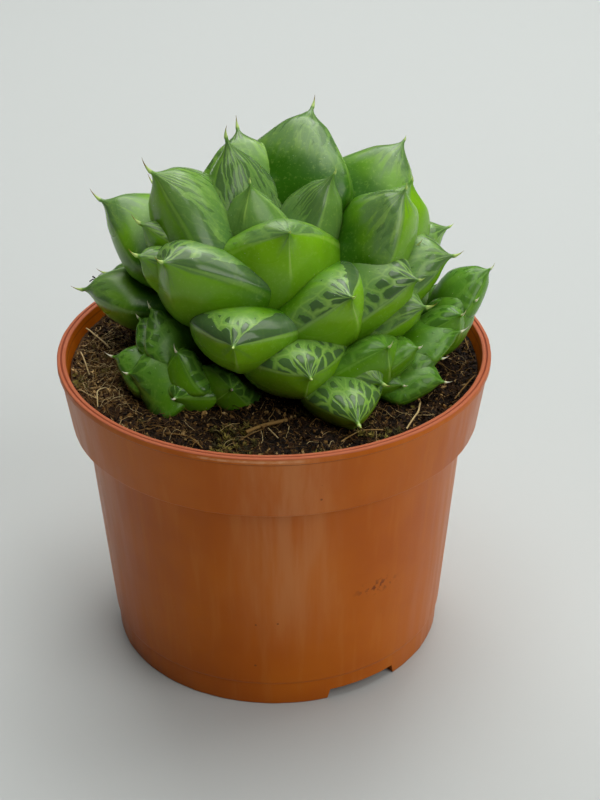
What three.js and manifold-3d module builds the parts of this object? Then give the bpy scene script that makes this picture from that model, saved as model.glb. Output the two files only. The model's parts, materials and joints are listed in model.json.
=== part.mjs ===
// A potted haworthia: a plump rosette of boat-shaped leaves with three young offsets at its foot,
// growing in peat in a round plastic nursery pot.
// Millimetres, +Z up. The origin is the centre of the pot's foot, on the surface it stands on.
// The front of the plant faces -Y and +X is to the right.

import * as THREE from 'three';
import { mergeVertices } from 'three/addons/utils/BufferGeometryUtils.js';
import Module from 'manifold-3d';

const wasm = await Module();
wasm.setup();

// Pot, outside. Radii are to the outer face.
const POT_HEIGHT = 66;
const LIP_RADIUS = 45;
const LIP_DEPTH = 1.5;
const COLLAR_TOP_RADIUS = 44.6;
const COLLAR_FOOT_RADIUS = 42.7;
const COLLAR_HEIGHT = 14.6;
const BODY_TOP_RADIUS = 39.9;
const BODY_FOOT_RADIUS = 35.5;
const FOOT_RING_HEIGHT = 5.5;
const FOOT_RING_STEP = 0.35;
const WALL = 1.1;
const LIP_INNER_RADIUS = 43.2;
const EDGE_BEVEL = 0.3;
const SHOULDER_BEVEL = 0.6;
const POT_STEPS_AROUND = 72;

// Pot, underneath: a raised floor with drain holes, and a notch in the foot on either side.
const FLOOR_LIFT = 3;
const FLOOR_THICKNESS = 1.4;
const FOOT_RING_WIDTH = 1.8;
const DRAIN_HOLES = 6;
const DRAIN_RADIUS = 3.5;
const DRAIN_CIRCLE = 23;
const DRAIN_STEPS_AROUND = 16;
const NOTCH_WIDTH = 17;
const NOTCH_HEIGHT = 2.4;
const NOTCH_BEVEL = 0.8;
const NOTCH_STARTS = 26;
const NOTCH_RUNS = 14;
const NOTCH_HEADINGS = [30, 210];

// Soil
const SOIL_EDGE_HEIGHT = 63;
const SOIL_CROWN = 1.2;
const SOIL_LUMP = 0.35;
// Waves that make up the lumps: share, turn across and turn along (radians per mm), phase.
const SOIL_WAVES = [
  [1, 0.41, 0.37, 1.3],
  [0.6, 0.83, -0.71, 2.1],
  [0.4, 1.27, 0.94, 0.5],
];
const SOIL_STEPS_AROUND = 60;
const SOIL_RINGS = 9;
const CLEARANCE = 0.4;

// Leaf proportions, as shares of the leaf's width. A leaf is a fat boat with a wedge nose: its
// halves narrow to ROOT_WIDTH and ROOT_DEEP at the root, the underside turns into a keel, and the
// last of the nose is drawn in towards the awn. The young leaves of the heart have a longer nose.
const MAIN_DEEP = 0.42;
const OFFSET_DEEP = 0.34;
const LEAF_SWELL = 0.18;
const LEAF_NOSE = 0.6;
const HEART_NOSE = 1;
const ROOT_WIDTH = 0.42;
const ROOT_DEEP = 0.3;
const ROOT_SWELL = 0.3;
const KEEL = 0.4;
const DRAWN_IN = 0.6;
const TIP_RADIUS = 0.45;

// Powers that bend the outlines: of the margins towards the tip, of the underside along the nose,
// and of the upper face over its width, which is round at the root and flat-edged at the nose.
const OUTLINE = 1.4;
const UNDERSIDE = 2.4;
const ROUND_EDGE = 0.85;
const SHARP_EDGE = 1.4;

// How leaves bend from root to tip (degrees): all rise at the root and then spread.
const HEART_BEND = -15;
const USUAL_BEND = -43;
const OUTER_BEND = -32;
const OFFSET_BEND = -28;

// The awn at the tip, in mm, and the angle that it turns up by.
const MAIN_AWN = 2.5;
const OFFSET_AWN = 1.2;
const AWN_LIFT = 20;

// Main rosette. Leaves follow the golden angle, counted from the heart outwards.
const MAIN_CENTRE = [-2, 4];
const FIRST_HEADING = -40;
const GOLDEN_ANGLE = 137.5;
const HEART_LEAVES = 3;
const OUTER_LEAVES_FROM = 24;
const STEM_TOP = 78;
const STEM_FOOT = 66;
const MAIN_STEM = { radius: 8, foot: 56, top: 84 };

// Each row: number from the heart, departure from the golden-angle heading (degrees), rise of the
// leaf above the level (degrees), reach from root to tip, width, roll about the leaf's own length,
// and in some the leaf's own bend and how far its root is shifted sideways.
const MAIN_LEAVES = [
  [-1, 0, 78, 21, 15, 0],
  [0, 19, 78, 26, 20, 0],
  [1, -19, 63, 30.5, 22, 25],
  [2, 0, 77, 34, 25, -10],
  [3, 3, 53, 30, 32, 0],
  [4, 4, 57, 41.5, 29, -6],
  [5, -5, 58, 38.5, 27, -17],
  [6, 9, 48, 41, 22, 34, 25],
  [7, -7, 64, 38, 26, 0],
  [8, -20, 40, 36.5, 28, 0],
  [9, 7, 42, 46.5, 27, 14, 5],
  [10, 2, 37, 40.5, 24, -12, -30],
  [11, 0, 32, 35.5, 27, 24, -20],
  [12, 6, 44, 36, 24, 0],
  [13, -19, 49, 36, 14, 0],
  [14, 9, 48, 42.5, 25, 0, 35],
  [15, 4, 38, 38, 23, 0],
  [16, -9, 23, 37.5, 22, 0],
  [17, 2, 38, 38, 23, 0],
  [18, -10, 13, 37, 20, 0],
  [19, 6, 31, 39.5, 27, 27],
  [20, 2, 32, 39, 22, 0],
  [21, -24, 43, 37.5, 16, 0],
  [22, -26, 29, 42.5, 25, 28],
  [23, 6, 13, 35, 18, 0],
  [24, -6, 14, 36, 22, 0],
  [25, 2, 24, 38, 20, 0],
  [27, 5, 38, 37, 18, 10],
  [28, 0, 22, 37, 20, 0],
  [30, -26, 30, 43, 19, 0],
  [32, -26, 1, 40, 17, 0, -24, 8],
  [33, -35, 14, 36, 18, 0],
  [35, -30, 23, 37.5, 19, 25],
  [36, 0, 18, 36, 18, 0],
  [45, 11, 7, 35.5, 16, 10],
];

// Offsets: where each stands, and one row for each leaf: heading, rise (degrees), reach, width,
// roll (degrees), and in one how far its root is shifted sideways.
const OFFSET_FOOT = 65;
const OFFSET_STEM = { radius: 4, foot: 58, top: 70 };
const OFFSETS = {
  offset_left: {
    centre: [-15.5, -16.5],
    leaves: [
      [-86, 18, 14.5, 19, -55],
      [-58, 66, 11, 15, -20],
      [-27, 16, 9.5, 13, 0],
      [8, 26, 9.5, 14, -50, 6],
      [-111, 13, 19, 15, -20],
      [-131, 50, 19, 13, -10],
      [-136, 30, 20, 11, 0],
    ],
  },
  offset_right: {
    centre: [15, -12.5],
    leaves: [
      [97, 21, 24.5, 12, 20],
      [83, 16, 19.5, 12, 25],
      [65, 34, 18, 13, 15],
      [37, 45, 17.2, 22, 5],
      [72, 6, 20, 14, 25],
      [50, 12, 14, 12, 0],
    ],
  },
  offset_back: {
    centre: [29, 1],
    leaves: [
      [84, 50, 24, 15, 15],
      [60, 45, 19.5, 19, 20],
      [38, 42, 19, 18, 10],
      [62, 58, 15, 12, 0],
      [135, 42, 16, 14, 0],
      [170, 48, 15, 13, 0],
    ],
  },
};

const FINISH = {
  pot: { color: 0xb5652f, roughness: 0.42, metalness: 0 },
  soil: { color: 0x3d2a1c, roughness: 0.95, metalness: 0 },
  main_rosette: { color: 0x4f8a24, roughness: 0.38, metalness: 0 },
  offset_left: { color: 0x4a8422, roughness: 0.4, metalness: 0 },
  offset_right: { color: 0x559126, roughness: 0.4, metalness: 0 },
  offset_back: { color: 0x5c982a, roughness: 0.4, metalness: 0 },
};

const radians = THREE.MathUtils.degToRad;

// Solids and meshes

function toSolid(geometry) {
  const bare = geometry.clone();
  bare.deleteAttribute('normal');
  bare.deleteAttribute('uv');
  const merged = mergeVertices(bare, 1e-4);
  const corners = merged.index.array;
  const kept = [];
  for (let i = 0; i < corners.length; i += 3) {
    const [a, b, c] = [corners[i], corners[i + 1], corners[i + 2]];
    if (a !== b && b !== c && c !== a) kept.push(a, b, c);
  }
  const vertProperties = new Float32Array(merged.attributes.position.array);
  const triVerts = new Uint32Array(kept);
  return new wasm.Manifold(new wasm.Mesh({ numProp: 3, vertProperties, triVerts }));
}

function toGeometry(solid) {
  const mesh = solid.getMesh();
  const geometry = new THREE.BufferGeometry();
  geometry.setAttribute('position', new THREE.BufferAttribute(mesh.vertProperties, 3));
  geometry.setIndex(new THREE.BufferAttribute(mesh.triVerts, 1));
  geometry.computeVertexNormals();
  return geometry;
}

// The outer skin of a joined solid: pockets closed in between leaves and loose chips fall away.
function largestPiece(solid) {
  return solid.decompose().reduce((best, piece) => (piece.volume() > best.volume() ? piece : best));
}

function join(solids) {
  return solids.reduce((sum, solid) => sum.add(solid));
}

function lathe(profile, steps) {
  const points = profile.map(([radius, height]) => new THREE.Vector2(radius, height));
  return new THREE.LatheGeometry(points, steps).rotateX(Math.PI / 2);
}

// Heading 0 faces the front (-Y) and grows towards the right (+X).
function outward(heading) {
  return new THREE.Vector3(Math.sin(radians(heading)), -Math.cos(radians(heading)), 0);
}

function sideways(heading) {
  return new THREE.Vector3(Math.cos(radians(heading)), Math.sin(radians(heading)), 0);
}

function blend(first, share, second, otherShare) {
  return first.clone().multiplyScalar(share).addScaledVector(second, otherShare);
}

// Pot

function innerRadiusAt(height) {
  const collarFoot = POT_HEIGHT - COLLAR_HEIGHT;
  if (height <= collarFoot) {
    const share = Math.max(0, height / collarFoot);
    return THREE.MathUtils.lerp(BODY_FOOT_RADIUS, BODY_TOP_RADIUS, share) - WALL;
  }
  const share = (height - collarFoot) / COLLAR_HEIGHT;
  return THREE.MathUtils.lerp(COLLAR_FOOT_RADIUS - WALL, LIP_INNER_RADIUS, share);
}

function potShell() {
  const collarFoot = POT_HEIGHT - COLLAR_HEIGHT;
  const lipFoot = POT_HEIGHT - LIP_DEPTH;
  const floorTop = FLOOR_LIFT + FLOOR_THICKNESS;
  const ringTopRadius = BODY_FOOT_RADIUS + EDGE_BEVEL;
  const ringInnerRadius = BODY_FOOT_RADIUS - FOOT_RING_WIDTH;
  return lathe([
    [0, FLOOR_LIFT],
    [ringInnerRadius - EDGE_BEVEL, FLOOR_LIFT],
    [ringInnerRadius, 0],
    [BODY_FOOT_RADIUS - EDGE_BEVEL, 0],
    [BODY_FOOT_RADIUS, EDGE_BEVEL],
    [ringTopRadius, FOOT_RING_HEIGHT],
    [ringTopRadius + FOOT_RING_STEP, FOOT_RING_HEIGHT + SHOULDER_BEVEL],
    [BODY_TOP_RADIUS, collarFoot - SHOULDER_BEVEL],
    [COLLAR_FOOT_RADIUS - SHOULDER_BEVEL, collarFoot],
    [COLLAR_FOOT_RADIUS, collarFoot + SHOULDER_BEVEL],
    [COLLAR_TOP_RADIUS, lipFoot],
    [LIP_RADIUS, lipFoot + EDGE_BEVEL],
    [LIP_RADIUS, POT_HEIGHT - EDGE_BEVEL],
    [LIP_RADIUS - EDGE_BEVEL, POT_HEIGHT],
    [LIP_INNER_RADIUS + EDGE_BEVEL, POT_HEIGHT],
    [LIP_INNER_RADIUS, POT_HEIGHT - EDGE_BEVEL],
    [COLLAR_FOOT_RADIUS - WALL, collarFoot + SHOULDER_BEVEL],
    [BODY_TOP_RADIUS - WALL, collarFoot - WALL],
    [innerRadiusAt(floorTop), floorTop],
    [0, floorTop],
  ], POT_STEPS_AROUND);
}

function drainHole(index) {
  const depth = 4 * FLOOR_THICKNESS;
  const hole = new THREE.CylinderGeometry(DRAIN_RADIUS, DRAIN_RADIUS, depth, DRAIN_STEPS_AROUND);
  hole.rotateX(Math.PI / 2);
  const place = outward(index * 360 / DRAIN_HOLES).multiplyScalar(DRAIN_CIRCLE);
  return hole.translate(place.x, place.y, FLOOR_LIFT + FLOOR_THICKNESS / 2);
}

// A low slot through the foot ring, with leaning ends, pushed out along its heading.
function footNotch(heading) {
  const half = NOTCH_WIDTH / 2;
  const outline = new THREE.Shape([
    new THREE.Vector2(-half, -1),
    new THREE.Vector2(half, -1),
    new THREE.Vector2(half - NOTCH_BEVEL, NOTCH_HEIGHT),
    new THREE.Vector2(NOTCH_BEVEL - half, NOTCH_HEIGHT),
  ]);
  const slot = new THREE.ExtrudeGeometry(outline, { depth: NOTCH_RUNS, bevelEnabled: false });
  slot.rotateX(Math.PI / 2);
  slot.translate(0, -NOTCH_STARTS, 0);
  return slot.rotateZ(radians(heading));
}

function pot() {
  let shell = toSolid(potShell());
  for (let i = 0; i < DRAIN_HOLES; i++) shell = shell.subtract(toSolid(drainHole(i)));
  for (const heading of NOTCH_HEADINGS) shell = shell.subtract(toSolid(footNotch(heading)));
  return shell;
}

// Soil

function soilHeight(x, y) {
  const share = Math.min(1, Math.hypot(x, y) / LIP_INNER_RADIUS);
  let lumps = 0;
  for (const [weight, across, along, phase] of SOIL_WAVES) {
    lumps += weight * Math.sin(across * x + along * y + phase);
  }
  const crown = SOIL_CROWN * (1 - share * share);
  return SOIL_EDGE_HEIGHT + crown + SOIL_LUMP * lumps * (1 - share ** 6);
}

// A closed body of rings from the underside, up along the pot wall and in over the surface.
function soilBody() {
  const bottom = FLOOR_LIFT + FLOOR_THICKNESS + CLEARANCE;
  const collarFoot = POT_HEIGHT - COLLAR_HEIGHT;
  const edge = innerRadiusAt(SOIL_EDGE_HEIGHT) - CLEARANCE;
  const rings = [
    [innerRadiusAt(bottom) - CLEARANCE, bottom],
    [BODY_TOP_RADIUS - WALL - CLEARANCE, collarFoot - WALL + CLEARANCE / 2],
    [COLLAR_FOOT_RADIUS - WALL - CLEARANCE, collarFoot + SHOULDER_BEVEL + CLEARANCE / 2],
    [edge, SOIL_EDGE_HEIGHT],
  ];
  for (let i = 1; i < SOIL_RINGS; i++) rings.push([edge * (1 - i / SOIL_RINGS), null]);

  const positions = [0, 0, bottom];
  for (const [radius, height] of rings) {
    for (let j = 0; j < SOIL_STEPS_AROUND; j++) {
      const angle = 2 * Math.PI * j / SOIL_STEPS_AROUND;
      const [x, y] = [radius * Math.cos(angle), radius * Math.sin(angle)];
      positions.push(x, y, height ?? soilHeight(x, y));
    }
  }
  positions.push(0, 0, soilHeight(0, 0));
  return closedRings(positions, rings.length, SOIL_STEPS_AROUND);
}

// Triangles of a body that starts in one point, runs through rings of equal count and ends in a
// point. Seen from the end point, each ring runs counterclockwise.
function closedRings(positions, ringCount, steps) {
  const last = positions.length / 3 - 1;
  const index = [];
  for (let j = 0; j < steps; j++) {
    const next = (j + 1) % steps;
    index.push(0, 1 + next, 1 + j);
    for (let i = 0; i < ringCount - 1; i++) {
      const [low, high] = [1 + i * steps, 1 + (i + 1) * steps];
      index.push(low + j, low + next, high + next);
      index.push(low + j, high + next, high + j);
    }
    const top = 1 + (ringCount - 1) * steps;
    index.push(top + j, top + next, last);
  }
  const geometry = new THREE.BufferGeometry();
  geometry.setAttribute('position', new THREE.Float32BufferAttribute(positions, 3));
  geometry.setIndex(index);
  return geometry;
}

// Leaves

// One leaf: rings set square to a midline that bends as it rises, closing on an awn. The upper
// face swells a little; the underside is deep and turns to a keel towards the nose. grow moves
// the whole skin outwards by that much.
function leaf({ root, heading, rise, reach, wide, roll, bend, ...size }) {
  const { depth, noseRate = LEAF_NOSE, awn, along, around, grow } = size;
  const turn = radians(bend);
  const start = radians(rise) - turn / 2;
  const length = reach * (turn / 2) / Math.sin(turn / 2);
  const out = outward(heading);
  const side = sideways(heading);
  const up = new THREE.Vector3(0, 0, 1);
  const direction = (angle) => blend(out, Math.cos(angle), up, Math.sin(angle));
  const midline = (t) => {
    const angle = start + turn * t;
    return root.clone()
      .addScaledVector(out, length / turn * (Math.sin(angle) - Math.sin(start)))
      .addScaledVector(up, length / turn * (Math.cos(start) - Math.cos(angle)));
  };

  const nose = THREE.MathUtils.clamp(noseRate * wide / length, 0.3, 0.6);
  const widest = 1 - nose;
  const bodySteps = Math.max(2, Math.round(along * 0.35));
  const noseSteps = along - bodySteps;
  const stations = [-grow / length];
  for (let i = 1; i < bodySteps; i++) stations.push(widest * i / bodySteps);
  for (let i = 0; i < noseSteps; i++) {
    stations.push(widest + nose * 0.965 * (i / (noseSteps - 1)) ** 0.85);
  }

  const positions = [...midline(stations[0]).toArray()];
  for (const t of stations) {
    const angle = start + turn * t;
    const body = THREE.MathUtils.smoothstep(t, -0.12, widest);
    const taper = Math.max(0, (t - widest) / nose);
    const slim = 1 - DRAWN_IN * THREE.MathUtils.smoothstep(taper, 0.7, 1);
    const widthShare = (ROOT_WIDTH + (1 - ROOT_WIDTH) * body) * (1 - taper ** OUTLINE) * slim;
    const deepShare = (ROOT_DEEP + (1 - ROOT_DEEP) * body) * (1 - taper ** UNDERSIDE) * slim;
    const fill = ROOT_SWELL + (1 - ROOT_SWELL) * THREE.MathUtils.smoothstep(t, 0, widest);
    const swellShare = fill * (1 - taper ** 3) ** 0.9 * slim;
    const half = grow + Math.max(wide / 2 * widthShare, TIP_RADIUS);
    const deep = grow + Math.max(wide * depth * deepShare, TIP_RADIUS);
    const swell = grow + Math.max(wide * LEAF_SWELL * swellShare, TIP_RADIUS);
    const keel = KEEL * THREE.MathUtils.smoothstep(t, 0.5, 1);
    const flattening = THREE.MathUtils.smoothstep(t, 0.35, 0.85);
    const edge = THREE.MathUtils.lerp(ROUND_EDGE, SHARP_EDGE, flattening);
    const twist = radians(roll) * THREE.MathUtils.smoothstep(t, 0, 0.7);
    const normal = direction(angle + Math.PI / 2);
    const across = blend(side, Math.cos(twist), normal, Math.sin(twist));
    const above = blend(normal, Math.cos(twist), side, -Math.sin(twist));
    for (let j = 0; j < around; j++) {
      const theta = 2 * Math.PI * j / around;
      const [x, y] = [Math.cos(theta), Math.sin(theta)];
      const underside = (1 - keel) * -y + keel * (1 - Math.abs(x));
      const height = y >= 0 ? swell * y ** edge : -deep * underside;
      const point = midline(t).addScaledVector(across, half * x).addScaledVector(above, height);
      positions.push(...point.toArray());
    }
  }
  const awnDirection = direction(start + turn + radians(AWN_LIFT));
  const point = midline(1).addScaledVector(awnDirection, awn + grow);
  positions.push(...point.toArray());
  return toSolid(closedRings(positions, stations.length, around));
}

// A short stem that all the roots are sunk in. It stands in a plain hole in the soil.
function stem([x, y], { radius, foot, top }, grow) {
  const wide = radius + grow;
  const profile = [
    [0, foot - grow],
    [0.8 * wide, foot - grow],
    [wide, foot + 3],
    [wide, top - 6],
    [0.5 * wide, top + grow],
    [0, top + grow],
  ];
  return toSolid(lathe(profile, 16).translate(x, y, 0));
}

function mainBend(n) {
  if (n < HEART_LEAVES) return HEART_BEND;
  return n < OUTER_LEAVES_FROM ? USUAL_BEND : OUTER_BEND;
}

// A root stands out from the centre by inset along its heading, and by shift across it.
function rootAt([x, y], height, heading, inset, shift) {
  return new THREE.Vector3(x, y, height)
    .addScaledVector(outward(heading), inset)
    .addScaledVector(sideways(heading), shift);
}

// The roots climb the stem towards the heart.
function mainLeaf([n, departure, rise, reach, wide, roll, bend = mainBend(n), shift = 0], size) {
  const heading = FIRST_HEADING + GOLDEN_ANGLE * n + departure;
  const height = STEM_FOOT + (STEM_TOP - STEM_FOOT) * Math.exp(-n / 9);
  const inset = n < HEART_LEAVES ? 1 : 2;
  const noseRate = n < HEART_LEAVES ? HEART_NOSE : LEAF_NOSE;
  const root = rootAt(MAIN_CENTRE, height, heading, inset, shift);
  return leaf({ root, heading, rise, reach, wide, roll, bend, noseRate, ...size });
}

function mainRosette(grow = 0) {
  const size = { depth: MAIN_DEEP, awn: MAIN_AWN, along: 8, around: 12, grow };
  const leaves = MAIN_LEAVES.map((row) => mainLeaf(row, size));
  return largestPiece(join([stem(MAIN_CENTRE, MAIN_STEM, grow), ...leaves]));
}

function offset({ centre, leaves }, grow = 0) {
  const size = { depth: OFFSET_DEEP, awn: OFFSET_AWN, along: 7, around: 10, grow };
  const solids = leaves.map(([heading, rise, reach, wide, roll, shift = 0]) => {
    const root = rootAt(centre, OFFSET_FOOT, heading, 0, shift);
    return leaf({ root, heading, rise, reach, wide, roll, bend: OFFSET_BEND, ...size });
  });
  return join([stem(centre, OFFSET_STEM, grow), ...solids]);
}

// Assembly. Each rosette keeps clear of the ones before it, and the soil of them all.

const solids = { pot: pot(), main_rosette: mainRosette() };
let grown = mainRosette(CLEARANCE);
for (const [name, plan] of Object.entries(OFFSETS)) {
  solids[name] = largestPiece(offset(plan).subtract(grown));
  grown = grown.add(offset(plan, CLEARANCE));
}
solids.soil = largestPiece(toSolid(soilBody()).subtract(grown));

const group = new THREE.Group();
for (const [name, solid] of Object.entries(solids)) {
  const mesh = new THREE.Mesh(toGeometry(solid), new THREE.MeshStandardMaterial(FINISH[name]));
  mesh.name = name;
  group.add(mesh);
}

export default group;
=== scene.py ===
# %% [markdown]
# # A potted haworthia
# This lesson dresses a measured model of a small window-leaved succulent in its nursery pot. The
# measured model has the sizes and the place of every piece. Blender adds what the eye sees: smooth
# waxy leaves with dark windows and pale veins, awns, crumbly peat, rootlets and satin plastic.
# Lengths are written in millimetres and turned to metres by one constant.

# %% Load the measured model
import json
import math
from types import SimpleNamespace

import bmesh
import bpy
import numpy as np
from mathutils import Matrix, Vector, noise

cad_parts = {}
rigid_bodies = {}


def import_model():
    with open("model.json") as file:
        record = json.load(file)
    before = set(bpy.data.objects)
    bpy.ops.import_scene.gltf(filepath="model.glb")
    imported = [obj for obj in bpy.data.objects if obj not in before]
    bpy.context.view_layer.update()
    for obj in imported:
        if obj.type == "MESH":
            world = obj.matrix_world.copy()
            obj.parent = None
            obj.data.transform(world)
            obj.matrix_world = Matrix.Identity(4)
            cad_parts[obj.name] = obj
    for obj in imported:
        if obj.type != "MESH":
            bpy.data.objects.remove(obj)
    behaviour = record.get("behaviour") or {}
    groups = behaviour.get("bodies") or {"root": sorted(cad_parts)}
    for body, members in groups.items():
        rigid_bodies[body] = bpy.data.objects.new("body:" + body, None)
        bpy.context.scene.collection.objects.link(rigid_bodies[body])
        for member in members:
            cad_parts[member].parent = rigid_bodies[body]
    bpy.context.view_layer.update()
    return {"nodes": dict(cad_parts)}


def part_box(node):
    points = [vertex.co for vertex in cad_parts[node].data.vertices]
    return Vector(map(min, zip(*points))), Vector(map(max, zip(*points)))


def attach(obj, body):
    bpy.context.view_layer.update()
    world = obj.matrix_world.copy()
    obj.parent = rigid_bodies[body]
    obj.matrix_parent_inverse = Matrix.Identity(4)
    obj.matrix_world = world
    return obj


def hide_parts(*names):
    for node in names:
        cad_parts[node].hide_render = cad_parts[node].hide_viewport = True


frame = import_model()
MM = 0.001


def mm(*lengths):
    """Lengths in millimetres, turned to metres."""
    return [length * MM for length in lengths]


print("measured nodes:", sorted(frame["nodes"]))

# %% [markdown]
# ## Camera
# The camera stands where the photographer held it: a little above the plant, looking down at the
# pot's lip. It is turned by small angles of yaw, pitch and roll because nobody holds a camera quite
# straight. Its focal length is given as the pixel length that the photo's 800-pixel height implies.

# %% Camera
PHOTO_HEIGHT = 800
FOCAL_PIXELS = 1734
SENSOR_MM = 24
CAMERA_DISTANCE = 361
LOOKS_DOWN = 28.04
YAW_RIGHT = 0.827
PITCH_UP = -1.809
ROLL = -0.811
RIM_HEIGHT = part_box("pot")[1].z

camera = bpy.data.objects.new("camera", bpy.data.cameras.new("camera"))
camera.data.sensor_fit = "VERTICAL"
camera.data.sensor_height = SENSOR_MM
camera.data.lens = SENSOR_MM * FOCAL_PIXELS / PHOTO_HEIGHT
camera.data.clip_start = 10 * MM
down = math.radians(LOOKS_DOWN)
place = Vector((0, -math.cos(down), math.sin(down))) * CAMERA_DISTANCE * MM
aim = Matrix.Rotation(math.radians(90 - LOOKS_DOWN), 4, "X")
yaw = Matrix.Rotation(math.radians(-YAW_RIGHT), 4, "Y")
pitch = Matrix.Rotation(math.radians(PITCH_UP), 4, "X")
roll = Matrix.Rotation(math.radians(ROLL), 4, "Z")
lift = Matrix.Translation(place + Vector((0, 0, RIM_HEIGHT)))
camera.matrix_world = lift @ aim @ yaw @ pitch @ roll
bpy.context.scene.collection.objects.link(camera)
bpy.context.scene.camera = camera
print("camera at", [round(v / MM) for v in camera.location], "mm, lens", round(camera.data.lens, 1))

# %% [markdown]
# ## Helpers
# A few helpers carry the whole file. `linear` turns an sRGB hex colour, which a person can pick
# from a colour wheel, to the linear light that the renderer works in. `add` makes any node, sets it
# up and links it, and `wire` does the linking for a node that is already there. `layered` lays one
# colour over another, as a painter would.
#
# `piece` turns points and faces into an object, and `chains_object` turns lines into one. `grown`
# runs a node tree on an object and keeps the result as a plain mesh, because a finished piece must
# not depend on a live modifier.

# %% Colours and nodes
def linear(hex_colour):
    channels = [int(hex_colour[i:i + 2], 16) / 255 for i in (1, 3, 5)]
    lit = [c / 12.92 if c <= 0.04045 else ((c + 0.055) / 1.055) ** 2.4 for c in channels]
    return (*lit, 1.0)


def wire(tree, node, inputs):
    """Fills a node's inputs, given by name or in the sockets' order. Each is a value, a socket, or a
    node, which stands for its first output."""
    for key, value in (inputs.items() if isinstance(inputs, dict) else enumerate(inputs)):
        if isinstance(value, bpy.types.Node):
            value = value.outputs[0]
        if isinstance(value, bpy.types.NodeSocket):
            tree.links.new(value, node.inputs[key])
        else:
            node.inputs[key].default_value = value


def add(tree, kind, inputs=(), **settings):
    """Adds a node with its settings and links."""
    node = tree.nodes.new(kind)
    for name, value in settings.items():
        setattr(node, name, value)
    wire(tree, node, inputs)
    return node


# The kinds of node that come up most, and their most usual settings
MATH, RANGE, NOISE = "ShaderNodeMath", "ShaderNodeMapRange", "ShaderNodeTexNoise"
VORONOI, MIX, BUMP = "ShaderNodeTexVoronoi", "ShaderNodeMix", "ShaderNodeBump"
VECTOR, SPLIT, JOIN = "ShaderNodeVectorMath", "ShaderNodeSeparateXYZ", "ShaderNodeCombineXYZ"
CARRIED = "GeometryNodeInputNamedAttribute"
TIMES, PLUS, MINUS = {"operation": "MULTIPLY"}, {"operation": "ADD"}, {"operation": "SUBTRACT"}
TIMES_PLUS, OVER = {"operation": "MULTIPLY_ADD"}, {"operation": "DIVIDE"}
LARGER, SMALLER = {"operation": "MAXIMUM"}, {"operation": "MINIMUM"}
ABOVE, WITHOUT_SIGN = {"operation": "GREATER_THAN"}, {"operation": "ABSOLUTE"}
SMOOTHLY = {"interpolation_type": "SMOOTHSTEP"}


def new_material(name):
    material = bpy.data.materials.new(name)
    material.use_nodes = True
    return material, material.node_tree, material.node_tree.nodes["Principled BSDF"]


def layered(tree, ground, layers):
    """Lays colours over a ground colour, each with the share of the skin that it covers."""
    colour = linear(ground)
    for share, paint in layers:
        paint = linear(paint) if isinstance(paint, str) else paint
        mixed = add(tree, MIX, {"Factor": share, "A": colour, "B": paint}, data_type="RGBA")
        colour = mixed.outputs["Result"]
    return colour


# %% Meshes and node trees
def in_scene(name, data):
    made = bpy.data.objects.new(name, data)
    bpy.context.scene.collection.objects.link(made)
    return made


def piece(name, points, faces):
    mesh = bpy.data.meshes.new(name)
    mesh.from_pydata([tuple(p) for p in points], [], [tuple(f) for f in faces])
    mesh.validate()
    mesh.shade_smooth()
    return in_scene(name, mesh)


def face_outwards(made, merge_mm=0):
    """Turns every face outwards, after merging the points that are closer than merge_mm."""
    shape = bmesh.new()
    shape.from_mesh(made.data)
    if merge_mm:
        bmesh.ops.remove_doubles(shape, verts=shape.verts, dist=merge_mm * MM)
    bmesh.ops.recalc_face_normals(shape, faces=shape.faces)
    shape.to_mesh(made.data)
    shape.free()


def chains_object(name, chains, measures):
    """One chain of edges through each list of points (mm). A measure gives every point a number or
    a vector, which a node tree can read."""
    edges, first = [], 0
    for chain in chains:
        edges += [(first + i, first + i + 1) for i in range(len(chain) - 1)]
        first += len(chain)
    mesh = bpy.data.meshes.new(name)
    mesh.from_pydata([tuple(p) for p in np.vstack(chains) * MM], edges, [])
    for key, values in measures.items():
        kind, field = ("FLOAT", "value") if np.ndim(values) == 1 else ("FLOAT_VECTOR", "vector")
        mesh.attributes.new(key, kind, "POINT").data.foreach_set(field, np.ravel(values))
    return in_scene(name, mesh)


def new_tree(name, sockets):
    """An empty geometry tree with named inputs, each (name, socket type, default)."""
    tree = bpy.data.node_groups.new(name, "GeometryNodeTree")
    tree.interface.new_socket("Geometry", in_out="INPUT", socket_type="NodeSocketGeometry")
    tree.interface.new_socket("Geometry", in_out="OUTPUT", socket_type="NodeSocketGeometry")
    for label, kind, value in sockets:
        socket = tree.interface.new_socket(label, in_out="INPUT", socket_type=kind)
        if value is not None:
            socket.default_value = value
    return tree, tree.nodes.new("NodeGroupInput").outputs, tree.nodes.new("NodeGroupOutput")


def end_tree(tree, given, result, geometry):
    """Every tree ends by making its copies real and setting the finish."""
    whole = add(tree, "GeometryNodeRealizeInstances", [geometry])
    done = add(tree, "GeometryNodeSetMaterial", {"Geometry": whole, "Material": given["Finish"]})
    wire(tree, result, [done])
    print(tree.name, "tree has", len(tree.nodes), "nodes")
    return tree


def grown(name, source, tree, inputs):
    """Runs a node tree on an object and keeps the result as a plain mesh."""
    modifier = source.modifiers.new(tree.name, "NODES")
    modifier.node_group = tree
    for item in tree.interface.items_tree:
        if item.item_type == "SOCKET" and item.in_out == "INPUT" and item.name in inputs:
            modifier[item.identifier] = inputs[item.name]
    bpy.context.view_layer.update()
    ready = source.evaluated_get(bpy.context.evaluated_depsgraph_get())
    mesh = bpy.data.meshes.new_from_object(ready)
    source.modifiers.remove(modifier)
    print(name, "has", sum(len(f.vertices) - 2 for f in mesh.polygons), "triangles")
    return in_scene(name, mesh)

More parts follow.
